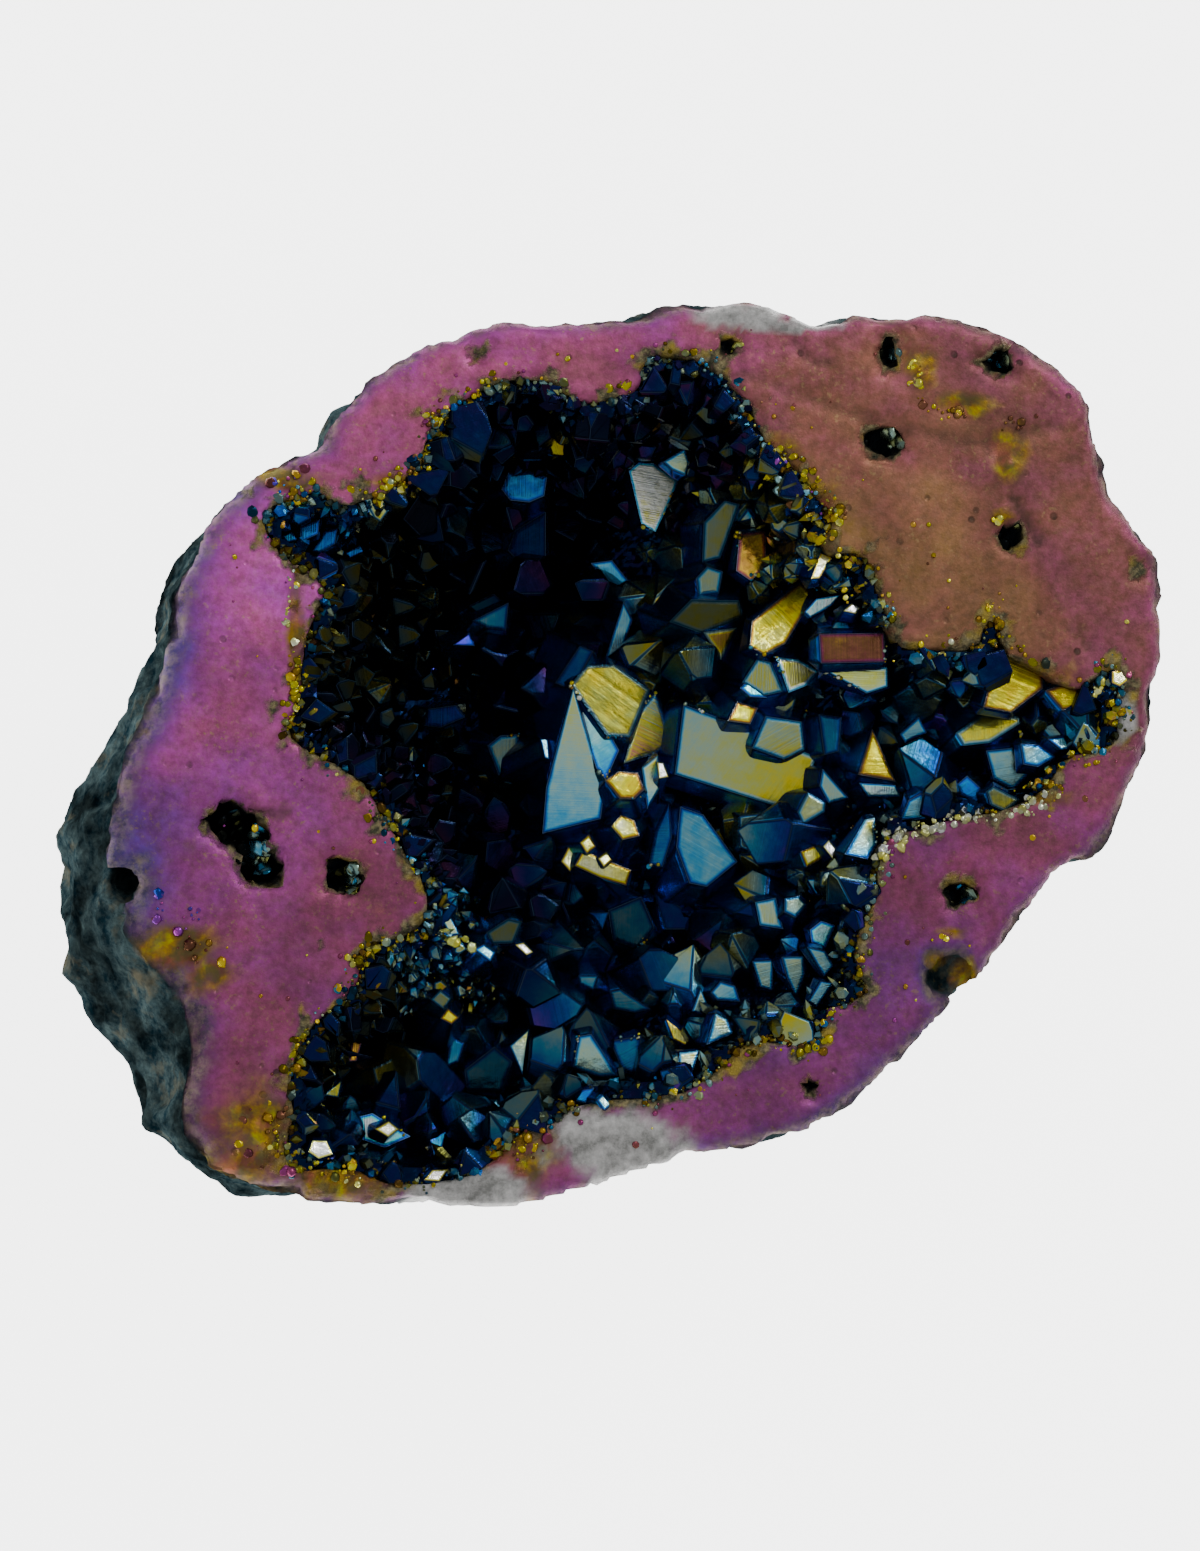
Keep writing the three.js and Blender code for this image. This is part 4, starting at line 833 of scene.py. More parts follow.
def rock():
    """The stone: the CAD node remade with even faces, each corner moved by what lies at it."""
    corners, outward, faces = even_copy("geode_rock", ROCK_GRID)
    plan = corners[:, :2]
    level = corners * [1, 1, 0]
    top = (corners[:, 2] > FACE_Z - FACE_BAND) & (outward[:, 2] > 0.6)
    deep = FACE_Z - corners[:, 2]
    from_rim = inset(plan)
    from_edge = line_distance(plan, OUTLINE)
    near_pit, in_pit = pit_marks(plan)
    in_pit &= deep < PIT_REACH
    facing_out = (outward[:, :2] * unit(plan)).sum(1)
    below = ((facing_out > 0.2) | (outward[:, 2] < -0.3)) & (deep > UNDERSIDE)
    outer = ((from_rim < -0.2) | below) & ~in_pit
    rind = np.where(outer, smooth(deep + 0.25 * pattern(corners, "rind edge"), 0.25, 0.9), 0.0)

    # the rind swells and crumbles, more so along its edge with the face
    swell = pattern(corners, "swell") * SWELL
    crag = -np.abs(pattern(corners, "crag")) * CRAG
    grit = pattern(corners, "grit") * GRIT
    shift = outward * (rind * (swell + crag + grit + 0.25))[:, None]
    shift[corners[:, 2] < 0.4] = 0
    notches = 0.34 + 0.32 * smooth(5 - corners[:, 1], 0, 15)
    notches = notches - np.clip(pattern(corners, "notch") + 0.05, 0, 1) * 0.9
    worn = 1.0 + 0.9 * smooth(-corners[:, 0], *WORN_SIDE)
    edge_share = smooth(1.3 * worn - from_edge, 0, 1.2 * worn) * smooth(2.0 - deep, 0, 1.6) * outer
    middle = unit(np.column_stack([plan, np.zeros(len(plan))]))
    shift += middle * (edge_share * notches)[:, None]
    shift[:, 2] -= edge_share * np.clip(1 - from_edge / worn, 0, 1) ** 2 * 0.45 * worn

    # the face waves a little, with knobs where it is golden and a crust along the rim
    waves = pattern(level, "wave") * 0.05
    golden = np.clip(nearness(plan, GOLD_PATCHES), 0, 1) * is_near_face(deep)
    knobs = pattern(corners, "knob") * 0.30 + pattern(corners, "broad knob") * 0.25
    crusty = smooth(1.6 + from_rim, 0, 1.2) * top
    crack = crack_marks(corners)
    shift[:, 2] -= top * crack * CRACK_DEPTH
    shift[:, 2] += top * (waves - 0.10 + golden * knobs) + crusty * pattern(corners, "crust") * 0.25

    # the rims of the pits wander, and those of the larger pits are drawn outwards
    wander = np.column_stack([pattern(corners, "wander across"), pattern(corners, "wander along")])
    shift[:, :2] += wander * (smooth(1.5 - near_pit, 0, 1.2) * is_near_face(deep) * 0.5)[:, None]
    for pit in PITS:
        if abs(area_of(pit)) < LEAST_PIT:
            continue
        away = plan - pit.mean(0)
        share = smooth(1.2 - line_distance(plan, pit), 0, 1.0) * is_near_face(deep)
        shift[:, :2] += unit(away) * (share * 0.35)[:, None]
    shift[:, 2] -= top * smooth(0.9 - near_pit, 0, 0.9) * 0.35
    shift += outward * (in_pit * pattern(corners, "pit wall") * 0.55)[:, None]
    moved = corners + shift
    moved[:, 2] = np.clip(moved[:, 2], 0.0, FACE_Z + 0.3)

    # what the material tells the parts of the stone apart by
    ragged = 0.5 + pattern(level, "ragged")
    halo = smooth(2.4 * ragged + from_rim + 0.2, 0, 0.9)
    halo = np.maximum(halo, smooth(0.9 * ragged - near_pit, 0, 0.6))
    halo = np.where(from_rim > 0, 1, halo)
    bare = smooth(nearness(plan, BARE_PATCHES) + 0.35 * pattern(corners, "bare"), 0.35, 0.7)
    gold = nearness(plan, GOLD_PATCHES) + 0.45 * pattern(corners, "gold")
    film, shade = film_on_face(plan)
    attributes = {
        "film": film,
        "shade": shade,
        "rind": rind,
        "rim": np.maximum(halo * ~below, in_pit),
        "gold": gold * smooth(5 - deep, 0, 4),
        "bare": bare * smooth(4 + 4 * pattern(corners, "bare foot") - deep, 0, 1.5),
        # Painted shade inside the pits, growing with depth.
        "pit": in_pit * smooth(deep, 0.1, 0.9),
        "crack": crack * top,
        "lip": smooth(1.5 * worn - from_edge, 0, 1.4 * worn) * outer,
    }
    piece = mesh_piece("geode_body", moved, faces, attributes, rock_material(), "geode_rock")
    piece.data.shade_smooth()
    return piece


# ---- crystals ------------------------------------------------------------------------------

CHAMFER = 0.10
# The outermost loop of a flat is kept bright as a painted highlight along its edge.
EDGE_HIGHLIGHT_TONE = 0.55  # least brightness of the outermost loop of a flat
# The loops round a flat, from the inner one to its corners: share of the ring's width, edge value. A
# negative edge value marks the outermost loop, which takes the painted highlight.
WIDE_LOOPS = [(1.0, 1.0), (0.45, 0.35), (0.18, 0.0), (0.0, -1.0)]
NARROW_LOOPS = [(1.0, 1.0), (0.3, 0.0), (0.0, -0.8)]
WIDE_RING, NARROW_RING, CHIP_RING = 0.44, 0.22, 0.05
BLUE_FILM = 0.62  # deep blue, on the sides of the crystals


def border_film(film):
    """The film where a flat meets its edge: nearer to the blue of the ramp than the flat's own."""
    return np.where(film > 0.5, np.maximum(film - 0.20, 0.64), film + 0.14)


# How many places are tried for each kind of small piece.
TRIES = {"medium": 4000, "small": 5000, "rim": 1300, "crust": 2600, "beads": 2600, "chips": 520}


class Ground:
    """The crystals' ground, sampled on a square grid."""

    step = 0.3

    def __init__(self):
        self.low = RIM.min(0) - 1
        across = RIM.max(0) + 1 - self.low
        self.count = np.ceil(across / self.step).astype(int) + 1
        grid = np.indices(self.count).reshape(2, -1).T * self.step + self.low
        self.depth = ground_depth(grid).reshape(self.count)
        self.inset = inset(grid).reshape(self.count)
        self.slope = np.gradient(self.depth, self.step)

    def read(self, field, points):
        place = np.clip((points - self.low) / self.step, 0, self.count - 1.001)
        cell = place.astype(int)
        share = place - cell
        x, y = cell.T
        u, v = share.T
        near = field[x, y] * (1 - u) + field[x + 1, y] * u
        far = field[x, y + 1] * (1 - u) + field[x + 1, y + 1] * u
        return near * (1 - v) + far * v

    def outward(self, points):
        slopes = [self.read(field, points) for field in self.slope]
        return unit(np.column_stack([slopes[0], slopes[1], np.ones(len(points))]))

    def scatter(self, count, rng, least_inset):
        """Random places on the ground, evenly over its surface, steep walls included."""
        points = np.empty((0, 2))
        span = (self.count - 1) * self.step
        while len(points) < count:
            trial = rng.random((count * 2, 2)) * span + self.low
            trial = trial[self.read(self.inset, trial) > least_inset]
            steep = 1 / self.outward(trial)[:, 2]
            kept = trial[rng.random(len(trial)) * 4 < steep]
            points = np.vstack([points, kept])
        return points[:count]

    def on(self, points):
        return np.column_stack([points, FACE_Z - self.read(self.depth, points)])


GROUND = Ground()


def convex_flats(normals, reach):
    """The flats of the body inside a set of planes, each its corners in turn, None where a plane
    holds none."""
    trios = np.array(list(itertools.combinations(range(len(normals)), 3)))
    sides = normals[trios]
    fine = np.abs(np.linalg.det(sides)) > 1e-4
    meets = np.linalg.solve(sides[fine], reach[trios[fine]][..., None])[..., 0]
    meets = meets[(meets @ normals.T <= reach + 1e-5).all(1)]
    flats = []
    for normal, far in zip(normals, reach):
        on = meets[np.abs(meets @ normal - far) < 1e-4]
        on = np.unique(np.round(on, 4), axis=0) if len(on) else on
        flats.append(in_turn(on, normal) if len(on) > 2 else None)
    return flats


def in_turn(points, normal):
    across = points - points.mean(0)
    first = unit(across[0])
    second = np.cross(normal, first)
    return points[np.argsort(np.arctan2(across @ second, across @ first))]


class Facets:
    """Crystal flats gathered into one mesh, each with rings round it in which the film turns blue, the
    outermost ring kept bright as a painted highlight.
    """

    def __init__(self, ring, loops):
        self.ring = ring
        self.loops = loops
        self.vertices = []
        self.faces = []
        self.values = {"film": [], "edge": [], "tone": [], "grow": [], "steps": []}
        self.count = 0

    def extend(self, vertices, faces, film, edge, tone, grow, steps=0.0):
        self.vertices.append(vertices)
        self.faces.extend([[corner + self.count for corner in face] for face in faces])
        for key, value in zip(self.values, (film, edge, tone, grow, steps)):
            self.values[key].append(np.broadcast_to(value, len(vertices)))
        self.count += len(vertices)

    def add_flat(self, corners, normal, heart, films, direction, tone, steps=0.0):
        """A flat whose film runs from films[0] to films[1] along a direction."""
        count = len(corners)
        after = unit(np.roll(corners, -1, axis=0) - corners)
        inward = np.cross(normal, after)
        before = np.roll(inward, 1, axis=0)
        room = np.min(np.abs(((corners.mean(0) - corners) * inward).sum(1)))
        width = min(self.ring, 0.45 * room)
        turn = (inward * before).sum(1, keepdims=True)
        step_in = (inward + before) / np.maximum(1 + turn, 0.35) * width
        sink = unit(heart - corners) * min(CHAMFER, width * 0.4)
        along = corners @ direction
        span = max(np.ptp(along), 1e-6)
        vertices = []
        film = []
        for share, edge in self.loops:
            loop = corners + step_in * share + sink * (1 - share)
            value = films[0] + (films[1] - films[0]) * (loop @ direction - along.min()) / span
            vertices.append(loop)
            film.append(value + (border_film(value) - value) * (1 - max(edge, 0)))
        edges = np.repeat([edge for _, edge in self.loops], count)
        # Painted highlight: the outermost loop keeps at least this brightness.
        tones = np.where(edges < -0.5, max(tone, EDGE_HIGHLIGHT_TONE * (tone > 0)), tone)
        faces = [list(range(count))]
        for ring in range(len(self.loops) - 1):
            for i in range(count):
                j = (i + 1) % count
                inner, outer = ring * count, (ring + 1) * count
                faces.append([inner + i, outer + i, outer + j, inner + j])
        vertices = np.vstack(vertices)
        self.extend(vertices, faces, np.concatenate(film), edges, tones, vertices @ direction, steps)

    def add_body(self, normals, reach, films, tones, directions, steps=0.0):
        flats = convex_flats(normals, reach)
        kept = [flat for flat in flats if flat is not None]
        if not kept:
            return
        heart = np.vstack(kept).mean(0)
        for index, (flat, normal) in enumerate(zip(flats, normals)):
            if flat is not None and normal[2] > -0.95:
                stepped = steps if index == 0 else 0.0
                self.add_flat(flat, normal, heart, films[index], directions[index], tones[index], stepped)

    def piece(self, name, material):
        values = {key: np.concatenate(value) for key, value in self.values.items()}
        vertices = np.vstack(self.vertices)
        return mesh_piece(name, vertices, self.faces, values, material, "crystal_crust")


def flat_plane(depth, towards, lean, corners):
    """Corners of a shown flat, turned anticlockwise, its middle and its outward direction."""
    plan = np.array([place_seen_at(corner, depth) for corner in corners]) - FACE_MIDDLE
    if area_of(plan) < 0:
        plan = plan[::-1]
    tilt = math.sin(math.radians(lean)) * compass(towards)
    normal = np.array([*tilt, math.cos(math.radians(lean))])
    middle = plan.mean(0)
    drop = (plan - middle) @ normal[:2] / normal[2]
    points = np.column_stack([plan, FACE_Z - depth - drop])
    return points, np.array([*middle, FACE_Z - depth]), normal


PLACED_FLATS = [flat_plane(*row[:3], row[-1]) for row in SHOWN_FLATS]


# Flats with marked growth steps: x, y, strength.
STEPPED_PLACES = np.array([
    (-2.8, -1.4, 0.7), (5.3, 3.4, 1.0), (22.2, -0.1, 1.0), (16.7, 2.8, 0.6), (15.8, 7.4, 0.6),
])


STEPPED_WITHIN = 1.5  # how near such a place the middle of its flat lies
SIDE_TILTS = (14, 34)  # degrees from upright of a large crystal's sides
SHARP_CORNER = 0.1  # corners whose sides' directions have a smaller cosine are cut off


def large_crystals():
    """A crystal below each shown flat, its sides sloping away from the flat's edges."""
    rng = np.random.default_rng(31)
    facets = Facets(WIDE_RING, WIDE_LOOPS)
    for row, (points, middle, normal) in zip(SHOWN_FLATS, PLACED_FLATS):
        depth, near, far, across, tone = row[0], row[3], row[4], row[5], row[6]
        normals = [normal]
        reach = [normal @ middle]
        along = unit(np.roll(points, -1, axis=0) - points)
        for start, way in zip(points, along):
            tilt = math.radians(rng.uniform(*SIDE_TILTS))
            side = unit([way[1], -way[0], 0]) * math.cos(tilt) + UP * math.sin(tilt)
            side = unit(side - way * (side @ way))
            normals.append(side)
            reach.append(side @ start)
        for point, before, after in zip(points, np.roll(along, 1, axis=0), along):
            if before @ after < SHARP_CORNER:
                end = unit((unit(before - after) * [1, 1, 0]) + UP * 0.25)
                normals.append(end)
                reach.append(end @ point)
        room = GROUND.read(GROUND.depth, points[:, :2]).min() - depth + 1.5
        normals.append(-UP)
        reach.append(-(FACE_Z - depth - min(max(room, 1.0), FACET_DEPTH)))
        sides = len(normals) - 2
        films = [(near, far)] + [(BLUE_FILM, rng.uniform(0.66, 0.80)) for _ in range(sides)] + [(0, 0)]
        tones = [tone] + list(rng.uniform(0.4, 1.1, sides)) + [0]
        directions = [np.array([*compass(across), 0])] + [UP] * (sides + 1)
        gaps = np.linalg.norm(STEPPED_PLACES[:, :2] - FACE_MIDDLE - middle[:2], axis=1)
        marked = gaps.min() < STEPPED_WITHIN
        steps = STEPPED_PLACES[gaps.argmin(), 2] if marked else rng.uniform(0, 0.25)
        facets.add_body(np.array(normals), np.array(reach), films, tones, directions, steps)
    return facets.piece("large_crystals", crystal_material("Large crystal", 1.0, 0.10))


LOOKING = np.round(SIGHT[:2] / SIGHT[2], 4)  # run of the line of sight per millimetre of height


def clear_of_flats(points, sizes):
    """True where a crystal of that size neither stands in front of a shown flat nor lies under one."""
    clear = np.ones(len(points), bool)
    for corners, middle, normal in PLACED_FLATS:
        height = points[:, 2] - middle[2]
        seen = points[:, :2] - LOOKING * height[:, None]
        over = is_inside(seen, corners[:, :2]) | (line_distance(seen, corners[:, :2]) < sizes * 0.8)
        under = is_inside(points[:, :2], corners[:, :2])
        plane = (points - middle) @ normal
        clear &= ~(over & (plane > -sizes)) & ~(under & (plane > -9))
    return clear


def medium_crystals():
    """Pointed crystals between the large ones, sawn off where they reach the face."""
    rng = np.random.default_rng(47)
    facets = Facets(NARROW_RING, NARROW_LOOPS)
    places = GROUND.on(GROUND.scatter(TRIES["medium"], rng, 0.4))
    axes = unit(GROUND.outward(places[:, :2]) + rng.normal(0, 0.33, places.shape) + UP * 0.25)
    scale, tones, films = zone_values(places, rng)
    sizes = rng.uniform(0.5, 1.3, len(places)) * scale
    heights = sizes * rng.uniform(1.2, 2.6, len(places))
    room = np.maximum(FACE_Z - 0.3 - places[:, 2], 0.4)
    heights = np.minimum(heights, room / np.maximum(axes[:, 2], 0.3))
    tips = places + axes * heights[:, None]
    waists = places + axes * heights[:, None] * 0.5
    clear = clear_of_flats(tips, sizes * 0.3) & clear_of_flats(waists, sizes * 0.9)
    clear &= GROUND.read(GROUND.inset, places[:, :2]) > 0.2 + sizes * 0.5
    clear &= GROUND.read(GROUND.inset, tips[:, :2]) > 0.3
    for i in spaced(places, sizes, np.flatnonzero(clear)):
        add_pointed(facets, places[i], axes[i], sizes[i], heights[i], films[i], tones[i], rng)
    return facets.piece("medium_crystals", crystal_material("Medium crystal", 0.9, 0.12))


CLOSENESS = 0.62  # least gap between two crystals, as a share of their sizes together


def spaced(places, sizes, order):
    """The places, largest crystals first, that keep clear of the ones already chosen."""
    chosen = []
    for i in sorted(order, key=lambda i: -sizes[i]):
        gaps = np.linalg.norm(places[chosen] - places[i], axis=1) if chosen else np.array([99.0])
        if (gaps > (sizes[chosen] + sizes[i]) * CLOSENESS).all():
            chosen.append(i)
    return chosen


POINT_SLOPE = math.radians(38)  # of a point's flats


def add_pointed(facets, root, axis, size, height, colour, bright, rng):
    """A six-sided quartz crystal with a point of six flats, three of them larger."""
    first = unit(np.cross(axis, [0.3, 1, 0.2]))
    second = np.cross(axis, first)
    turn = rng.uniform(0, math.pi)
    tip = root + axis * height
    normals = [-axis, UP]
    reach = [-(root - axis * 1.0) @ axis, FACE_Z - 0.1]
    films = [(0, 0), (BLUE_FILM, 0.68)]
    tones = [0, 0.2]
    for i in range(6):
        angle = turn + i * math.pi / 3
        out = first * math.cos(angle) + second * math.sin(angle)
        width = size * rng.uniform(0.8, 1.1)
        normals.append(out)
        reach.append(out @ root + width)
        films.append((BLUE_FILM, 0.70))
        tones.append(bright * rng.uniform(0.3, 0.7))
        cap = unit(out * math.cos(POINT_SLOPE) + axis * math.sin(POINT_SLOPE))
        normals.append(cap)
        reach.append(cap @ tip + (i % 2) * size * rng.uniform(0.0, 0.4))
        films.append((colour + rng.uniform(-0.20, -0.05), colour + rng.uniform(0, 0.12)))
        tones.append(bright * rng.uniform(0.6, 1.2))
    directions = [axis] * len(normals)
    facets.add_body(np.array(normals), np.array(reach), films, tones, directions)


def zone_of(places, rng):
    """The zone each place belongs to, the nearest one by its reach, with blurred borders."""
    centres = np.array([zone[:2] for zone in CRYSTAL_ZONES]) - FACE_MIDDLE
    reaches = np.array([zone[2] for zone in CRYSTAL_ZONES])
    gaps = np.linalg.norm(places[:, None, :2] - centres[None], axis=2) / reaches
    return np.argmin(gaps + rng.normal(0, 0.12, gaps.shape), axis=1)


ODD_SHARE = 0.14  # crystals whose film is not their zone's
LIT_SHARE = 0.035  # crystals that shine gold, rose or blue in the dark zones
LIT_FILMS = [0.22, 0.26, 0.93, 0.98, 0.72]
DARK_TONE = 0.15


def zone_values(places, rng):
    """Size, brightness and film of a crystal at each place."""
    zones = np.array(CRYSTAL_ZONES)[zone_of(places, rng)]
    films = zones[:, 5] + (zones[:, 6] - zones[:, 5]) * rng.random(len(places))
    odd = rng.random(len(places)) < ODD_SHARE
    films = np.where(odd, rng.uniform(0.60, 1.02, len(places)), films)
    tones = zones[:, 4] * rng.uniform(0.35, 1.25, len(places))
    spare = np.random.default_rng(113)
    # Painted glints: a few crystals in the dark zones are brightened.
    lit = (spare.random(len(places)) < LIT_SHARE) & (tones < DARK_TONE)
    films = np.where(lit, spare.choice(LIT_FILMS, len(places)), films)
    tones = np.where(lit, spare.uniform(0.25, 0.7, len(places)), tones)
    return zones[:, 3], tones, films


SMALL_SHAPES = 8  # how many shapes the small crystals share


def pointed_template(rng):
    """Corners and faces of a small six-sided point of height and width near one."""
    ring = [0.5 * rng.uniform(0.8, 1.2) for _ in range(6)]
    low = [(r * math.cos(i * math.pi / 3), r * math.sin(i * math.pi / 3), -0.5) for i, r in enumerate(ring)]
    high = [(x, y, rng.uniform(0.25, 0.55)) for x, y, _ in low]
    tip = (rng.uniform(-0.12, 0.12), rng.uniform(-0.12, 0.12), 1.0)
    corners = np.array([*low, *high, tip])
    faces = []
    for i in range(6):
        j = (i + 1) % 6
        faces.append((i, j, 6 + j, 6 + i))
        faces.append((6 + i, 6 + j, 12))
    return corners, faces


def split_template(corners, faces):
    """The same body with corners of its own for every face."""
    apart = np.array([corners[corner] for face in faces for corner in face])
    start = 0
    lists = []
    for face in faces:
        lists.append(list(range(start, start + len(face))))
        start += len(face)
    return apart, lists


def spin_to(axes, turns):
    """Rotation matrices that take the z axis to each axis, turned about it."""
    first = unit(np.cross(axes, [0.31, 0.95, 0.1]))
    second = np.cross(axes, first)
    c, s = np.cos(turns)[:, None], np.sin(turns)[:, None]
    return np.stack([first * c + second * s, second * c - first * s, axes], axis=2)


def scatter_points(name, places, axes, sizes, heights, films, tones, material, rng):
    """Many small crystals as one mesh, each a stretched and turned copy of one of a few shapes."""
    facets = Facets(0.0, [])
    shapes = [split_template(*pointed_template(rng)) for _ in range(SMALL_SHAPES)]
    spins = spin_to(axes, rng.uniform(0, math.tau, len(places)))
    picks = rng.integers(0, len(shapes), len(places))
    for i, place in enumerate(places):
        corners, faces = shapes[picks[i]]
        body = corners * [sizes[i], sizes[i], heights[i]]
        shade = np.repeat(rng.uniform(-0.05, 0.05, len(faces)), [len(face) for face in faces])
        edge = np.clip(corners[:, 2] * 0.9 + 0.45, 0, 1)
        points = body @ spins[i].T + place
        points[:, 2] = np.minimum(points[:, 2], FACE_Z + 0.1)
        facets.extend(points, faces, films[i] + shade, edge, tones[i], corners[:, 2])
    return facets.piece(name, material)


def druse(material):
    """Small crystals all over the ground of the hollow."""
    rng = np.random.default_rng(59)
    places = GROUND.on(GROUND.scatter(TRIES["small"], rng, 0.15))
    places = places[clear_of_flats(places, np.full(len(places), 0.3))]
    axes = unit(GROUND.outward(places[:, :2]) + rng.normal(0, 0.4, places.shape))
    scale, tones, films = zone_values(places, rng)
    kept = (rng.random(len(places)) < np.clip(1.5 - 0.8 * scale, 0.15, 1)) & (tones > 0.05)
    places, axes, scale, tones, films = places[kept], axes[kept], scale[kept], tones[kept], films[kept]
    sizes = rng.uniform(0.3, 0.9, len(places)) * np.sqrt(scale)
    heights = sizes * rng.uniform(0.8, 1.6, len(places))
    return scatter_points("small_crystals", places, axes, sizes, heights, films, tones, material, rng)


# Grey-olive and whitish stretches of the rim: where, brightness, film.
RIM_KINDS = [(GREY_RIM, (0.25, 0.8), (0.82, 0.94)), (PALE_RIM, (0.5, 1.2), (0, 0.1))]


def along_rim(count, rng, least, most):
    """Random places along the rim, how far in from it each one is, and the inward direction there."""
    after = np.roll(RIM, -1, axis=0)
    lengths = np.hypot(*(after - RIM).T)
    picks = rng.choice(len(RIM), count, p=lengths / lengths.sum())
    along = RIM[picks] + (after - RIM)[picks] * rng.random((count, 1))
    way = (after - RIM)[picks] / lengths[picks][:, None]
    inward = np.column_stack([way[:, 1], -way[:, 0]])
    if area_of(RIM) > 0:
        inward = -inward
    across = rng.uniform(least, most, count)
    return along + inward * across[:, None], across, inward


def rim_tones(plan, rng):
    """Brightness and film along the rim: gilded, olive, pale and teal stretches."""
    count = len(plan)
    tones = rng.uniform(0.2, 1.0, count) * np.clip(0.8 + 1.8 * patchy(plan, 3, 4), 0.3, 1.5)
    kind = rng.random(count) + 0.9 * patchy(plan, 8, 6)
    films = np.where(kind < 0.42, rng.uniform(0.12, 0.24, count), rng.uniform(0.88, 1.0, count))
    films = np.where(kind > 0.75, rng.uniform(0.70, 0.87, count), films)
    gilded = nearness(plan, GOLD_RIM) > 0.5
    tones = np.where(gilded, rng.uniform(0.3, 0.9, count), tones)
    films = np.where(gilded, rng.choice([0.14, 0.18, 0.22, 0.92, 0.98], count), films)
    for stretch, bright, film in RIM_KINDS:
        within = nearness(plan, stretch) > 0.5
        tones = np.where(within, rng.uniform(*bright, count), tones)
        films = np.where(within, rng.uniform(*film, count), films)
    return tones, films


def rim_crystals(material):
    """Crumbly crystals just inside the rim of the hollow."""
    rng = np.random.default_rng(67)
    count = TRIES["rim"]
    plan, across, inward = along_rim(count, rng, 0.0, 1.3)
    drop = across * rng.uniform(0.2, 1.1, count) + rng.uniform(0.1, 0.5, count)
    places = np.column_stack([plan, FACE_Z - drop - 0.25])
    sizes = rng.uniform(0.3, 0.95, count)
    axes = unit(np.column_stack([inward * 0.3, np.ones(count)]) + rng.normal(0, 0.5, (count, 3)))
    heights = np.minimum(sizes * rng.uniform(0.7, 1.3, count), drop + 0.5)
    tones, films = rim_tones(plan, rng)
    clear = clear_of_flats(places, sizes)
    kept = [values[clear] for values in (places, axes, sizes, heights, films, tones)]
    return scatter_points("rim_crystals", *kept, material, rng)


def rim_crust(material):
    """A crust of small rounded lumps on the face along the rim."""
    rng = np.random.default_rng(107)
    plan, across = along_rim(TRIES["crust"], rng, -1.3, 0.35)[:2]
    share = np.clip(0.28 + across * 0.3 + patchy(plan, 5, 3.5) * 1.3, 0.01, 1)
    kept = rng.random(len(plan)) < share
    kept |= (nearness(plan, PALE_RIM) > 0.5) & (across > -0.7)
    kept |= (nearness(plan, GOLD_RIM) > 0.5) & (rng.random(len(plan)) < 0.7)
    plan, across = plan[kept], across[kept]
    count = len(plan)
    sizes = 0.10 + 0.34 * rng.random(count) ** 2.5
    roots = np.column_stack([plan, FACE_Z - 0.10 - np.clip(across + 0.1, 0, 1) * 0.8])
    tones, films = rim_tones(plan, rng)
    axes = unit(UP + rng.normal(0, 0.15, (count, 3)))
    clear = clear_of_flats(roots, sizes * 0.5)
    kept = [values[clear] for values in (roots, axes, sizes, sizes * 0.42, films, tones)]
    return domes("rim_crust", *kept, material)


DOME_RINGS = (32, 62, 95)  # degrees from the top of a lump to its rings of corners
DOME_UNEVENNESS = 0.9  # of a lump's size


def domes(name, places, axes, sizes, heights, films, tones, material, node="geode_rock"):
    """Many low rounded lumps as one mesh, each a stretched half ball of eight sides."""
    turns = np.arange(8) * math.pi / 4
    rings = [(math.sin(a), math.cos(a)) for a in map(math.radians, DOME_RINGS)]
    shape = [(0, 0, 1)] + [(r * math.cos(t), r * math.sin(t), z) for r, z in rings for t in turns]
    shape = np.array(shape)
    pairs = [(i, (i + 1) % 8) for i in range(8)]
    cap = [(0, 1 + i, 1 + j) for i, j in pairs]
    sides = [(ring + i, ring + 8 + i, ring + 8 + j, ring + j) for ring in (1, 9) for i, j in pairs]
    spins = spin_to(axes, np.arange(len(places)) * 2.4)
    bodies = shape[None] * np.column_stack([sizes, sizes, heights])[:, None, :]
    points = np.einsum("nij,nkj->nki", spins, bodies) + places[:, None, :]
    points = points.reshape(-1, 3)
    uneven = pattern(points, "lump")
    ways = unit(np.tile(shape, (len(places), 1)))
    points += DOME_UNEVENNESS * uneven[:, None] * np.repeat(sizes, len(shape))[:, None] * ways
    starts = np.arange(len(places)) * len(shape)
    faces = [tuple(corner + start for corner in face) for start in starts.tolist() for face in cap + sides]
    values = {"film": np.repeat(films, len(shape)) + 0.04 * uneven, "edge": np.ones(len(points)),
              "tone": np.repeat(tones, len(shape)), "grow": points[:, 2], "steps": np.zeros(len(points))}
    piece = mesh_piece(name, points, faces, values, material, node)
    piece.data.shade_smooth()
    return piece


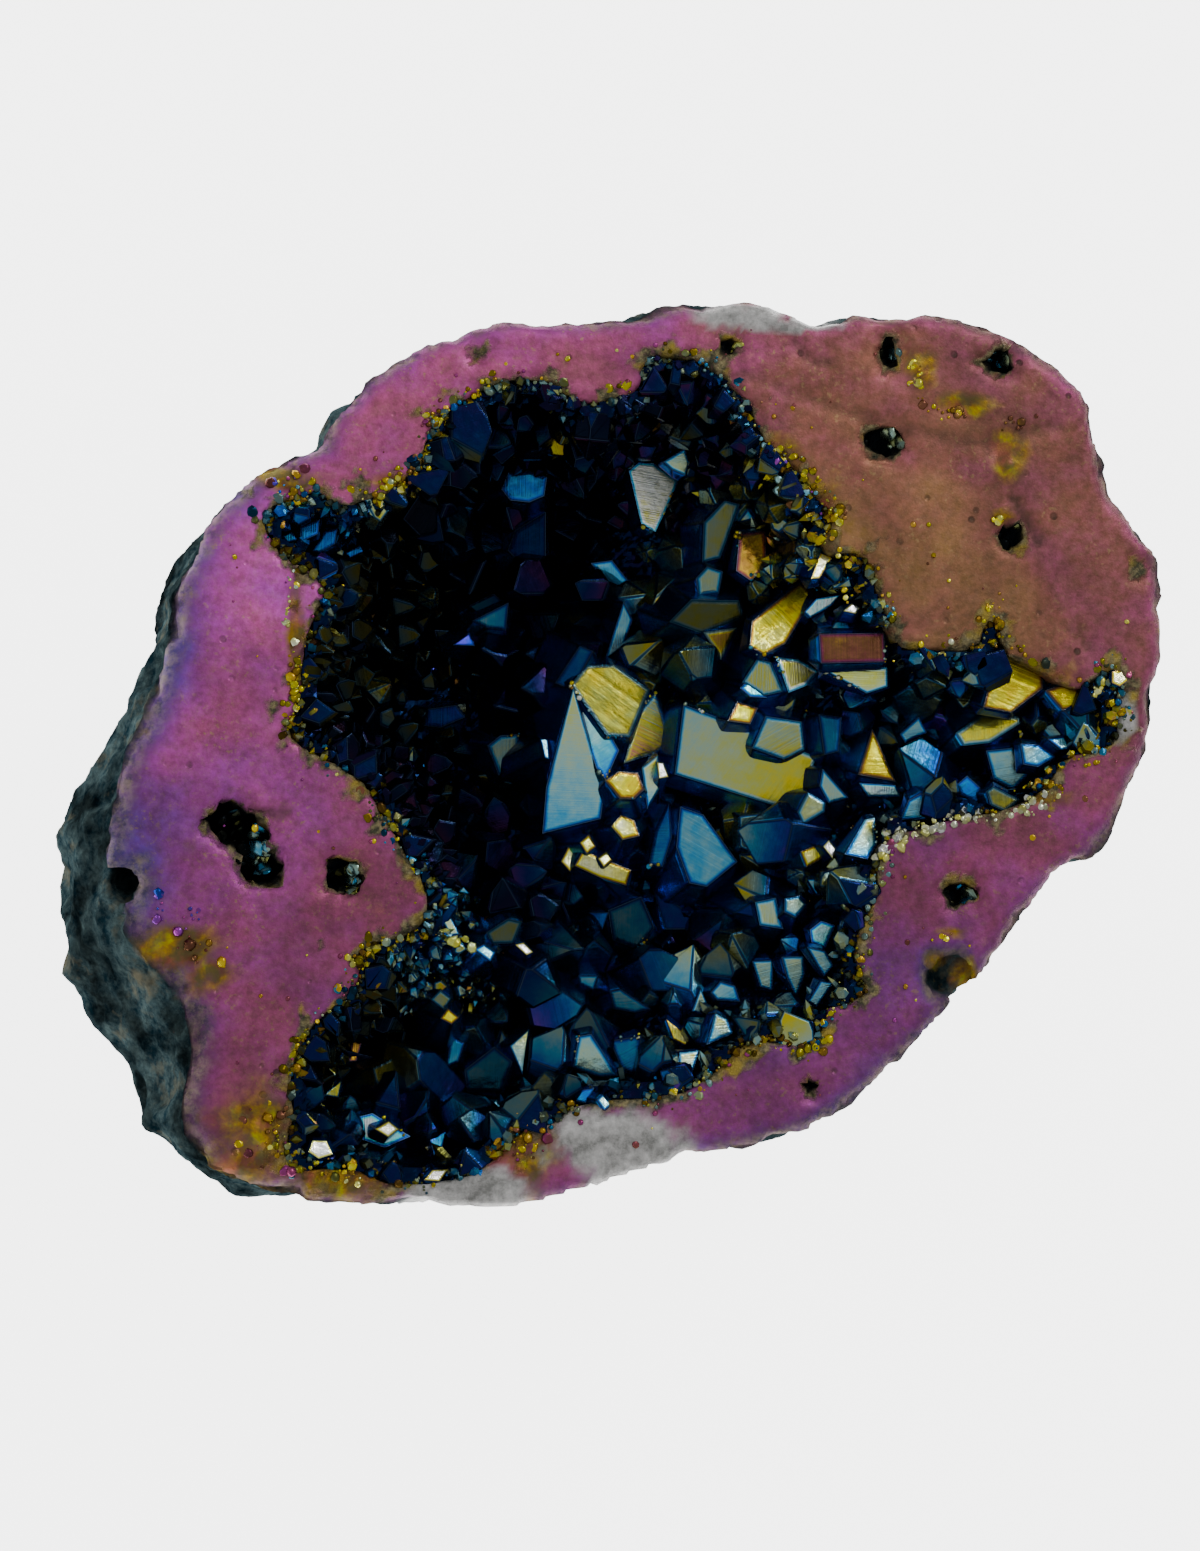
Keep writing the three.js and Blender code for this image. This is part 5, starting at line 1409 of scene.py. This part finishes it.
# Gilded lumps on the face and along the rim: x, y, half length, half width, turn in degrees,
# how many, thinnest and thickest film.
LUMPS = [
    (26.8, 33.0, 0.9, 2.0, -8, 34, 0.10, 0.24), (29.3, 30.6, 2.6, 0.8, -20, 26, 0.14, 0.30),
    (36.0, 29.5, 1.2, 0.8, 30, 12, 0.20, 0.36), (33.6, 21.2, 1.1, 0.5, 10, 10, 0.08, 0.18),
    (29.6, 10.6, 0.25, 0.25, 0, 2, 0.03, 0.10), (28.8, 9.4, 0.25, 0.25, 0, 2, 0.08, 0.16),
    (26.9, 10.2, 0.2, 0.2, 0, 2, 0.10, 0.18), (42.8, 6.8, 0.7, 0.7, 0, 9, 0.05, 0.16),
    (-28.2, 22.2, 2.3, 0.7, 15, 26, 0.12, 0.95), (-17.0, 23.6, 2.0, 0.6, 20, 18, 0.10, 0.30),
    (-13.2, 27.8, 0.4, 0.4, 0, 4, 0.12, 0.20), (-26.4, 4.6, 0.35, 2.2, 8, 16, 0.10, 0.24),
    (-26.9, 13.0, 0.5, 3.0, -5, 22, 0.88, 1.0), (-28.6, -32.4, 2.6, 3.2, 20, 60, 0.14, 0.42),
    (-22.6, -34.4, 2.4, 0.9, -10, 30, 0.08, 0.24), (-7.0, -32.6, 1.9, 2.3, 0, 40, 0.12, 0.44),
    (28.4, -18.0, 3.0, 2.4, 30, 30, 0.10, 0.24), (29.2, -14.6, 1.0, 0.4, 0, 6, 0.12, 0.26),
    (36.0, -1.6, 2.4, 0.6, 25, 18, 0.10, 0.24), (16.0, 23.6, 2.8, 1.6, -60, 40, 0.14, 1.02),
    (20.6, 14.6, 0.5, 2.0, 20, 14, 0.10, 0.20), (24.0, 8.6, 1.6, 0.4, 0, 10, 0.10, 0.24),
    (-35.0, -16.4, 2.8, 1.2, -10, 24, 0.12, 0.34), (-12.5, -15.5, 1.6, 0.6, -40, 14, 0.88, 1.0),
    (-34.8, -14.0, 1.2, 0.8, 30, 12, 0.44, 0.60), (-37.6, -13.2, 0.6, 1.6, 0, 14, 0.40, 0.62),
]


def lumps(material):
    """Clusters of gilded lumps on the face and along the rim."""
    rng = np.random.default_rng(83)
    places = []
    films = []
    for x, y, half_length, half_width, turn, count, thin, thick in LUMPS:
        count = int(count * 0.6) + 2
        spots = rng.normal(0, 0.5, (count, 2)) * [half_length, half_width]
        c, s = compass(turn)
        places.append(spots @ np.array([[c, s], [-s, c]]) + [x, y] - FACE_MIDDLE)
        films.append(rng.uniform(thin, thick, count))
    plan = np.vstack(places)
    count = len(plan)
    sizes = 0.10 + 0.42 * rng.random(count) ** 3
    inside = np.clip(inset(plan), 0, 3)
    roots = np.column_stack([plan, FACE_Z - 0.05 - np.minimum(inside, 1.2) * 0.5])
    axes = unit(UP + rng.normal(0, 0.12, (count, 3)))
    tones = rng.uniform(0.5, 1.1, count)
    heights = sizes * rng.uniform(0.4, 0.65, count)
    films = np.concatenate(films)
    tones *= np.where(films < 0.2, 1.3, np.where(films > 0.4, 1.8, 1.0))
    clear = clear_of_flats(roots, sizes * 0.6)
    clear &= is_inside(plan, OUTLINE) & (line_distance(plan, OUTLINE) > 0.7)
    for pit in PITS:
        clear &= ~is_inside(plan, pit)
    kept = [values[clear] for values in (roots, axes, sizes, heights, films, tones)]
    return domes("gilded_lumps", *kept, material)


def pearls(material):
    """Tiny round beads of the coating on the face, thicker near the rim of the hollow."""
    rng = np.random.default_rng(101)
    low = np.array([-38, -34])
    plan = low + rng.random((TRIES["beads"], 2)) * [84, 70]
    from_rim = -inset(plan)
    near = np.exp(-np.clip(from_rim, 0, 99) / 2.6) * 0.55 + 0.02
    kept = (from_rim > 0.1) & (rng.random(len(plan)) < near) & is_inside(plan, OUTLINE)
    kept &= line_distance(plan, OUTLINE) > 1.5
    plan = plan[kept]
    count = len(plan)
    sizes = 0.09 + 0.20 * rng.random(count) ** 2
    film = film_on_face(plan)[0] + rng.uniform(-0.12, 0.04, count)
    golden = rng.random(count) < 0.35
    film = np.where(golden, rng.uniform(0.10, 0.22, count), film)
    roots = np.column_stack([plan, np.full(count, FACE_Z - 0.08)])
    axes = np.tile(UP, (count, 1)).astype(float)
    tones = rng.uniform(0.7, 1.5, count)
    return domes("beads_on_the_face", roots, axes, sizes, sizes * 0.6, film, tones, material)


def edge_chips(material):
    """Small bright chips and beads along some edges of the large flats."""
    rng = np.random.default_rng(103)
    places = []
    for corners, middle, _ in PLACED_FLATS:
        if abs(area_of(corners[:, :2])) < 5:
            continue
        after = np.roll(corners, -1, axis=0)
        for start, end in zip(corners, after):
            if rng.random() < 0.14:
                count = int(np.linalg.norm(end - start) / 0.35)
                share = rng.beta(0.6, 1.6, (count, 1))
                inward = unit(middle - (start + end) / 2)
                places.append(start + (end - start) * share + inward * rng.normal(0.05, 0.14, (count, 1)))
    places = np.vstack(places)
    count = len(places)
    sizes = 0.07 + 0.17 * rng.random(count) ** 2
    axes = unit(UP + rng.normal(0, 0.3, (count, 3)))
    films = rng.choice([0.03, 0.08, 0.14, 0.20, 0.78, 0.86, 0.97], count)
    tones = rng.uniform(0.3, 1.3, count)
    return domes("edge_chips", places, axes, sizes, sizes * 0.8, films, tones, material, "crystal_crust")


# Direction that a flat faces to mirror the small bright light into the camera.
SPARK_FACING = np.array([0.171, 0.296, 0.940])


def sparks(material):
    """Tiny crystals in the hollow that catch the light."""
    rng = np.random.default_rng(97)
    places = GROUND.on(GROUND.scatter(TRIES["chips"], rng, 0.6))
    places = places[clear_of_flats(places, np.full(len(places), 0.2)) & (places[:, 2] < FACE_Z - 1.2)]
    facets = Facets(CHIP_RING, NARROW_LOOPS)
    for place in places:
        size = 0.08 + 0.26 * rng.random() ** 2.5
        facing = unit(SPARK_FACING + rng.normal(0, 0.14, 3))
        turn = rng.uniform(0, math.tau)
        first = unit(np.cross(facing, [0.3, 1, 0.2]))
        second = np.cross(facing, first)
        angles = turn + np.arange(4) * math.pi / 2 + rng.uniform(-0.5, 0.5, 4)
        reach = size * rng.uniform(0.5, 1.3, 4)
        top = place + UP * 0.7
        ring = top + np.outer(np.cos(angles) * reach, first) + np.outer(np.sin(angles) * reach, second)
        film = rng.choice([0.04, 0.10, 0.16, 0.24, 0.60, 0.72, 0.80])
        tone = rng.uniform(0.15, 1.0)
        facets.add_flat(ring, facing, place, (film, film), UP, tone)
        for i in range(4):
            j = (i + 1) % 4
            side = np.array([ring[j], ring[i], place - UP * 0.4])
            facets.extend(side, [[0, 1, 2]], 0.66, 0.3, 0.2, side[:, 2])
    return facets.piece("bright_chips", material)


def pit_lumps(material):
    """Pale teal lumps on the walls of each pit, painted bright on the walls that face towards the left and
    painted dark as shade on the others.
    """
    rng = np.random.default_rng(71)
    places = []
    outs = []
    for pit in PITS:
        middle = pit.mean(0)
        gilded = nearness(middle[None], GOLD_PATCHES)[0] > 0.3
        count = int(abs(area_of(pit)) * (7 if gilded else 2.4)) + 2
        picks = rng.integers(0, len(pit), count)
        share = rng.uniform(0.30, 0.82, (count, 1))
        plan = middle + (pit[picks] - middle) * share
        drop = 0.7 + (0.82 - share[:, 0]) * 3.6 + rng.uniform(0, 0.4, count)
        places.append(np.column_stack([plan, FACE_Z - drop * (0.45 if gilded else 1)]))
        outs.append(unit(np.column_stack([(middle - pit[picks]), np.full(count, 1.0)])))
    places, outs = np.vstack(places), np.vstack(outs)
    count = len(places)
    sizes = rng.uniform(0.3, 0.75, count)
    teal = rng.random(count) < 0.4
    films = np.where(teal, rng.uniform(0.76, 0.84, count), rng.uniform(0.85, 0.95, count))
    # Painted light and shade: lumps on walls facing towards the left are bright, the rest near-black.
    lit = smooth(outs @ unit(np.array([-0.9, -0.35, 0.2])), -0.1, 0.6)
    tones = rng.uniform(0.4, 1.2, count) * (0.01 + lit)
    gilded = nearness(places[:, :2], GOLD_PATCHES) > 0.3
    films = np.where(gilded, rng.choice([0.14, 0.19, 0.24, 0.93], count), films)
    tones = np.where(gilded, rng.uniform(0.05, 0.7, count), tones)
    axes = unit(outs + rng.normal(0, 0.25, outs.shape))
    return domes("pit_lumps", places, axes, sizes, sizes * 0.5, films, tones, material)


def lining(material):
    """The ground that the crystals stand on, painted dark between them as shade."""
    step = 0.34
    low = RIM.min(0)
    count = np.ceil((RIM.max(0) - low) / step).astype(int) + 1
    grid = np.indices(count).reshape(2, -1).T * step + low
    within = inset(grid)
    depth = ground_depth(grid)
    lumps = pattern(np.column_stack([grid, depth]), "ground")
    heights = FACE_Z - depth - 0.25 + 0.5 * lumps * smooth(within, 0, 1.5)
    for corners, middle, normal in PLACED_FLATS:
        close = is_inside(grid, corners[:, :2]) | (line_distance(grid, corners[:, :2]) < 0.4)
        plane = middle[2] - ((grid - middle[:2]) @ normal[:2]) / normal[2]
        heights = np.where(close, np.minimum(heights, plane - 0.5), heights)
    keep = within > -0.1
    number = np.cumsum(keep) - 1
    index = np.where(keep, number, -1).reshape(count)
    quads = [index[:-1, :-1], index[1:, :-1], index[1:, 1:], index[:-1, 1:]]
    quads = np.stack(quads, axis=-1).reshape(-1, 4)
    faces = quads[(quads >= 0).all(1)].tolist()
    points = np.column_stack([grid, heights])[keep]
    # The low tone is painted shade on the ground between the crystals.
    values = {"film": 0.66 + 0.08 * lumps[keep], "edge": np.full(len(points), 0.6),
              "tone": np.full(len(points), 0.12), "grow": points[:, 2],
              "steps": np.zeros(len(points))}
    return mesh_piece("crystal_ground", points, faces, values, material, "crystal_crust")


# ---- floor, lights and camera ----------------------------------------------------------------

FLOOR_SIZE = 3.0  # metres
FLOOR_GLOW = 4.5
WORLD_LIGHT = 0.55
SENSOR = 36.0
LENS = VIEW_SCALE * CAMERA_FAR * SENSOR / VIEW_HEIGHT
# The lights: name, direction towards it, distance and size in metres, power in watts.
LIGHTS = [
    ("key_light", (0.396, 0.431, 0.811), 0.9, 0.42, 0.40),
    ("spark_light", (0.497, 0.605, 0.622), 0.9, 0.12, 1.4),
    ("side_light", (-0.8, -0.25, 0.55), 1.0, 0.6, 0.4),
]


def floor():
    half = FLOOR_SIZE / 2
    corners = [(-half, -half, 0), (half, -half, 0), (half, half, 0), (-half, half, 0)]
    mesh = bpy.data.meshes.new("floor")
    mesh.from_pydata(corners, [], [(0, 1, 2, 3)])
    mesh.materials.append(floor_material())
    plane = bpy.data.objects.new("floor", mesh)
    bpy.context.scene.collection.objects.link(plane)


def soft_light(name, direction, distance, size, power):
    """A square light that faces the object from a direction, in metres and watts."""
    light = bpy.data.lights.new(name, "AREA")
    light.size = size
    light.energy = power
    lamp = bpy.data.objects.new(name, light)
    way = Vector(direction).normalized()
    lamp.location = way * distance
    lamp.rotation_euler = way.to_track_quat("Z", "Y").to_euler()
    bpy.context.scene.collection.objects.link(lamp)


def lights():
    world = bpy.data.worlds.new("studio")
    world.use_nodes = True
    shade = world.node_tree.nodes["Background"]
    shade.inputs["Color"].default_value = (1, 1, 1, 1)
    shade.inputs["Strength"].default_value = WORLD_LIGHT
    bpy.context.scene.world = world
    for row in LIGHTS:
        soft_light(*row)


def camera():
    lens = bpy.data.cameras.new("camera")
    lens.sensor_fit = "VERTICAL"
    lens.sensor_height = SENSOR
    lens.lens = LENS
    lens.clip_end = 10
    eye = bpy.data.objects.new("camera", lens)
    turn = Matrix([[*row] for row in np.column_stack([CAMERA_RIGHT, CAMERA_UP, SIGHT])])
    eye.matrix_world = Matrix.Translation(Vector((EYE - [*FACE_MIDDLE, 0]) * MM)) @ turn.to_4x4()
    bpy.context.scene.collection.objects.link(eye)
    bpy.context.scene.camera = eye


def build():
    rock()
    dark = crystal_material("Small crystal", 0.8, 0.14)
    gilded = crystal_material("Rim crystal", 0.8, 0.22)
    lining(dark)
    large_crystals()
    medium_crystals()
    druse(dark)
    rim_crystals(gilded)
    rim_crust(gilded)
    pit_lumps(gilded)
    lumps(gilded)
    pearls(gilded)
    edge_chips(gilded)
    sparks(dark)
    floor()
    lights()
    camera()


build()
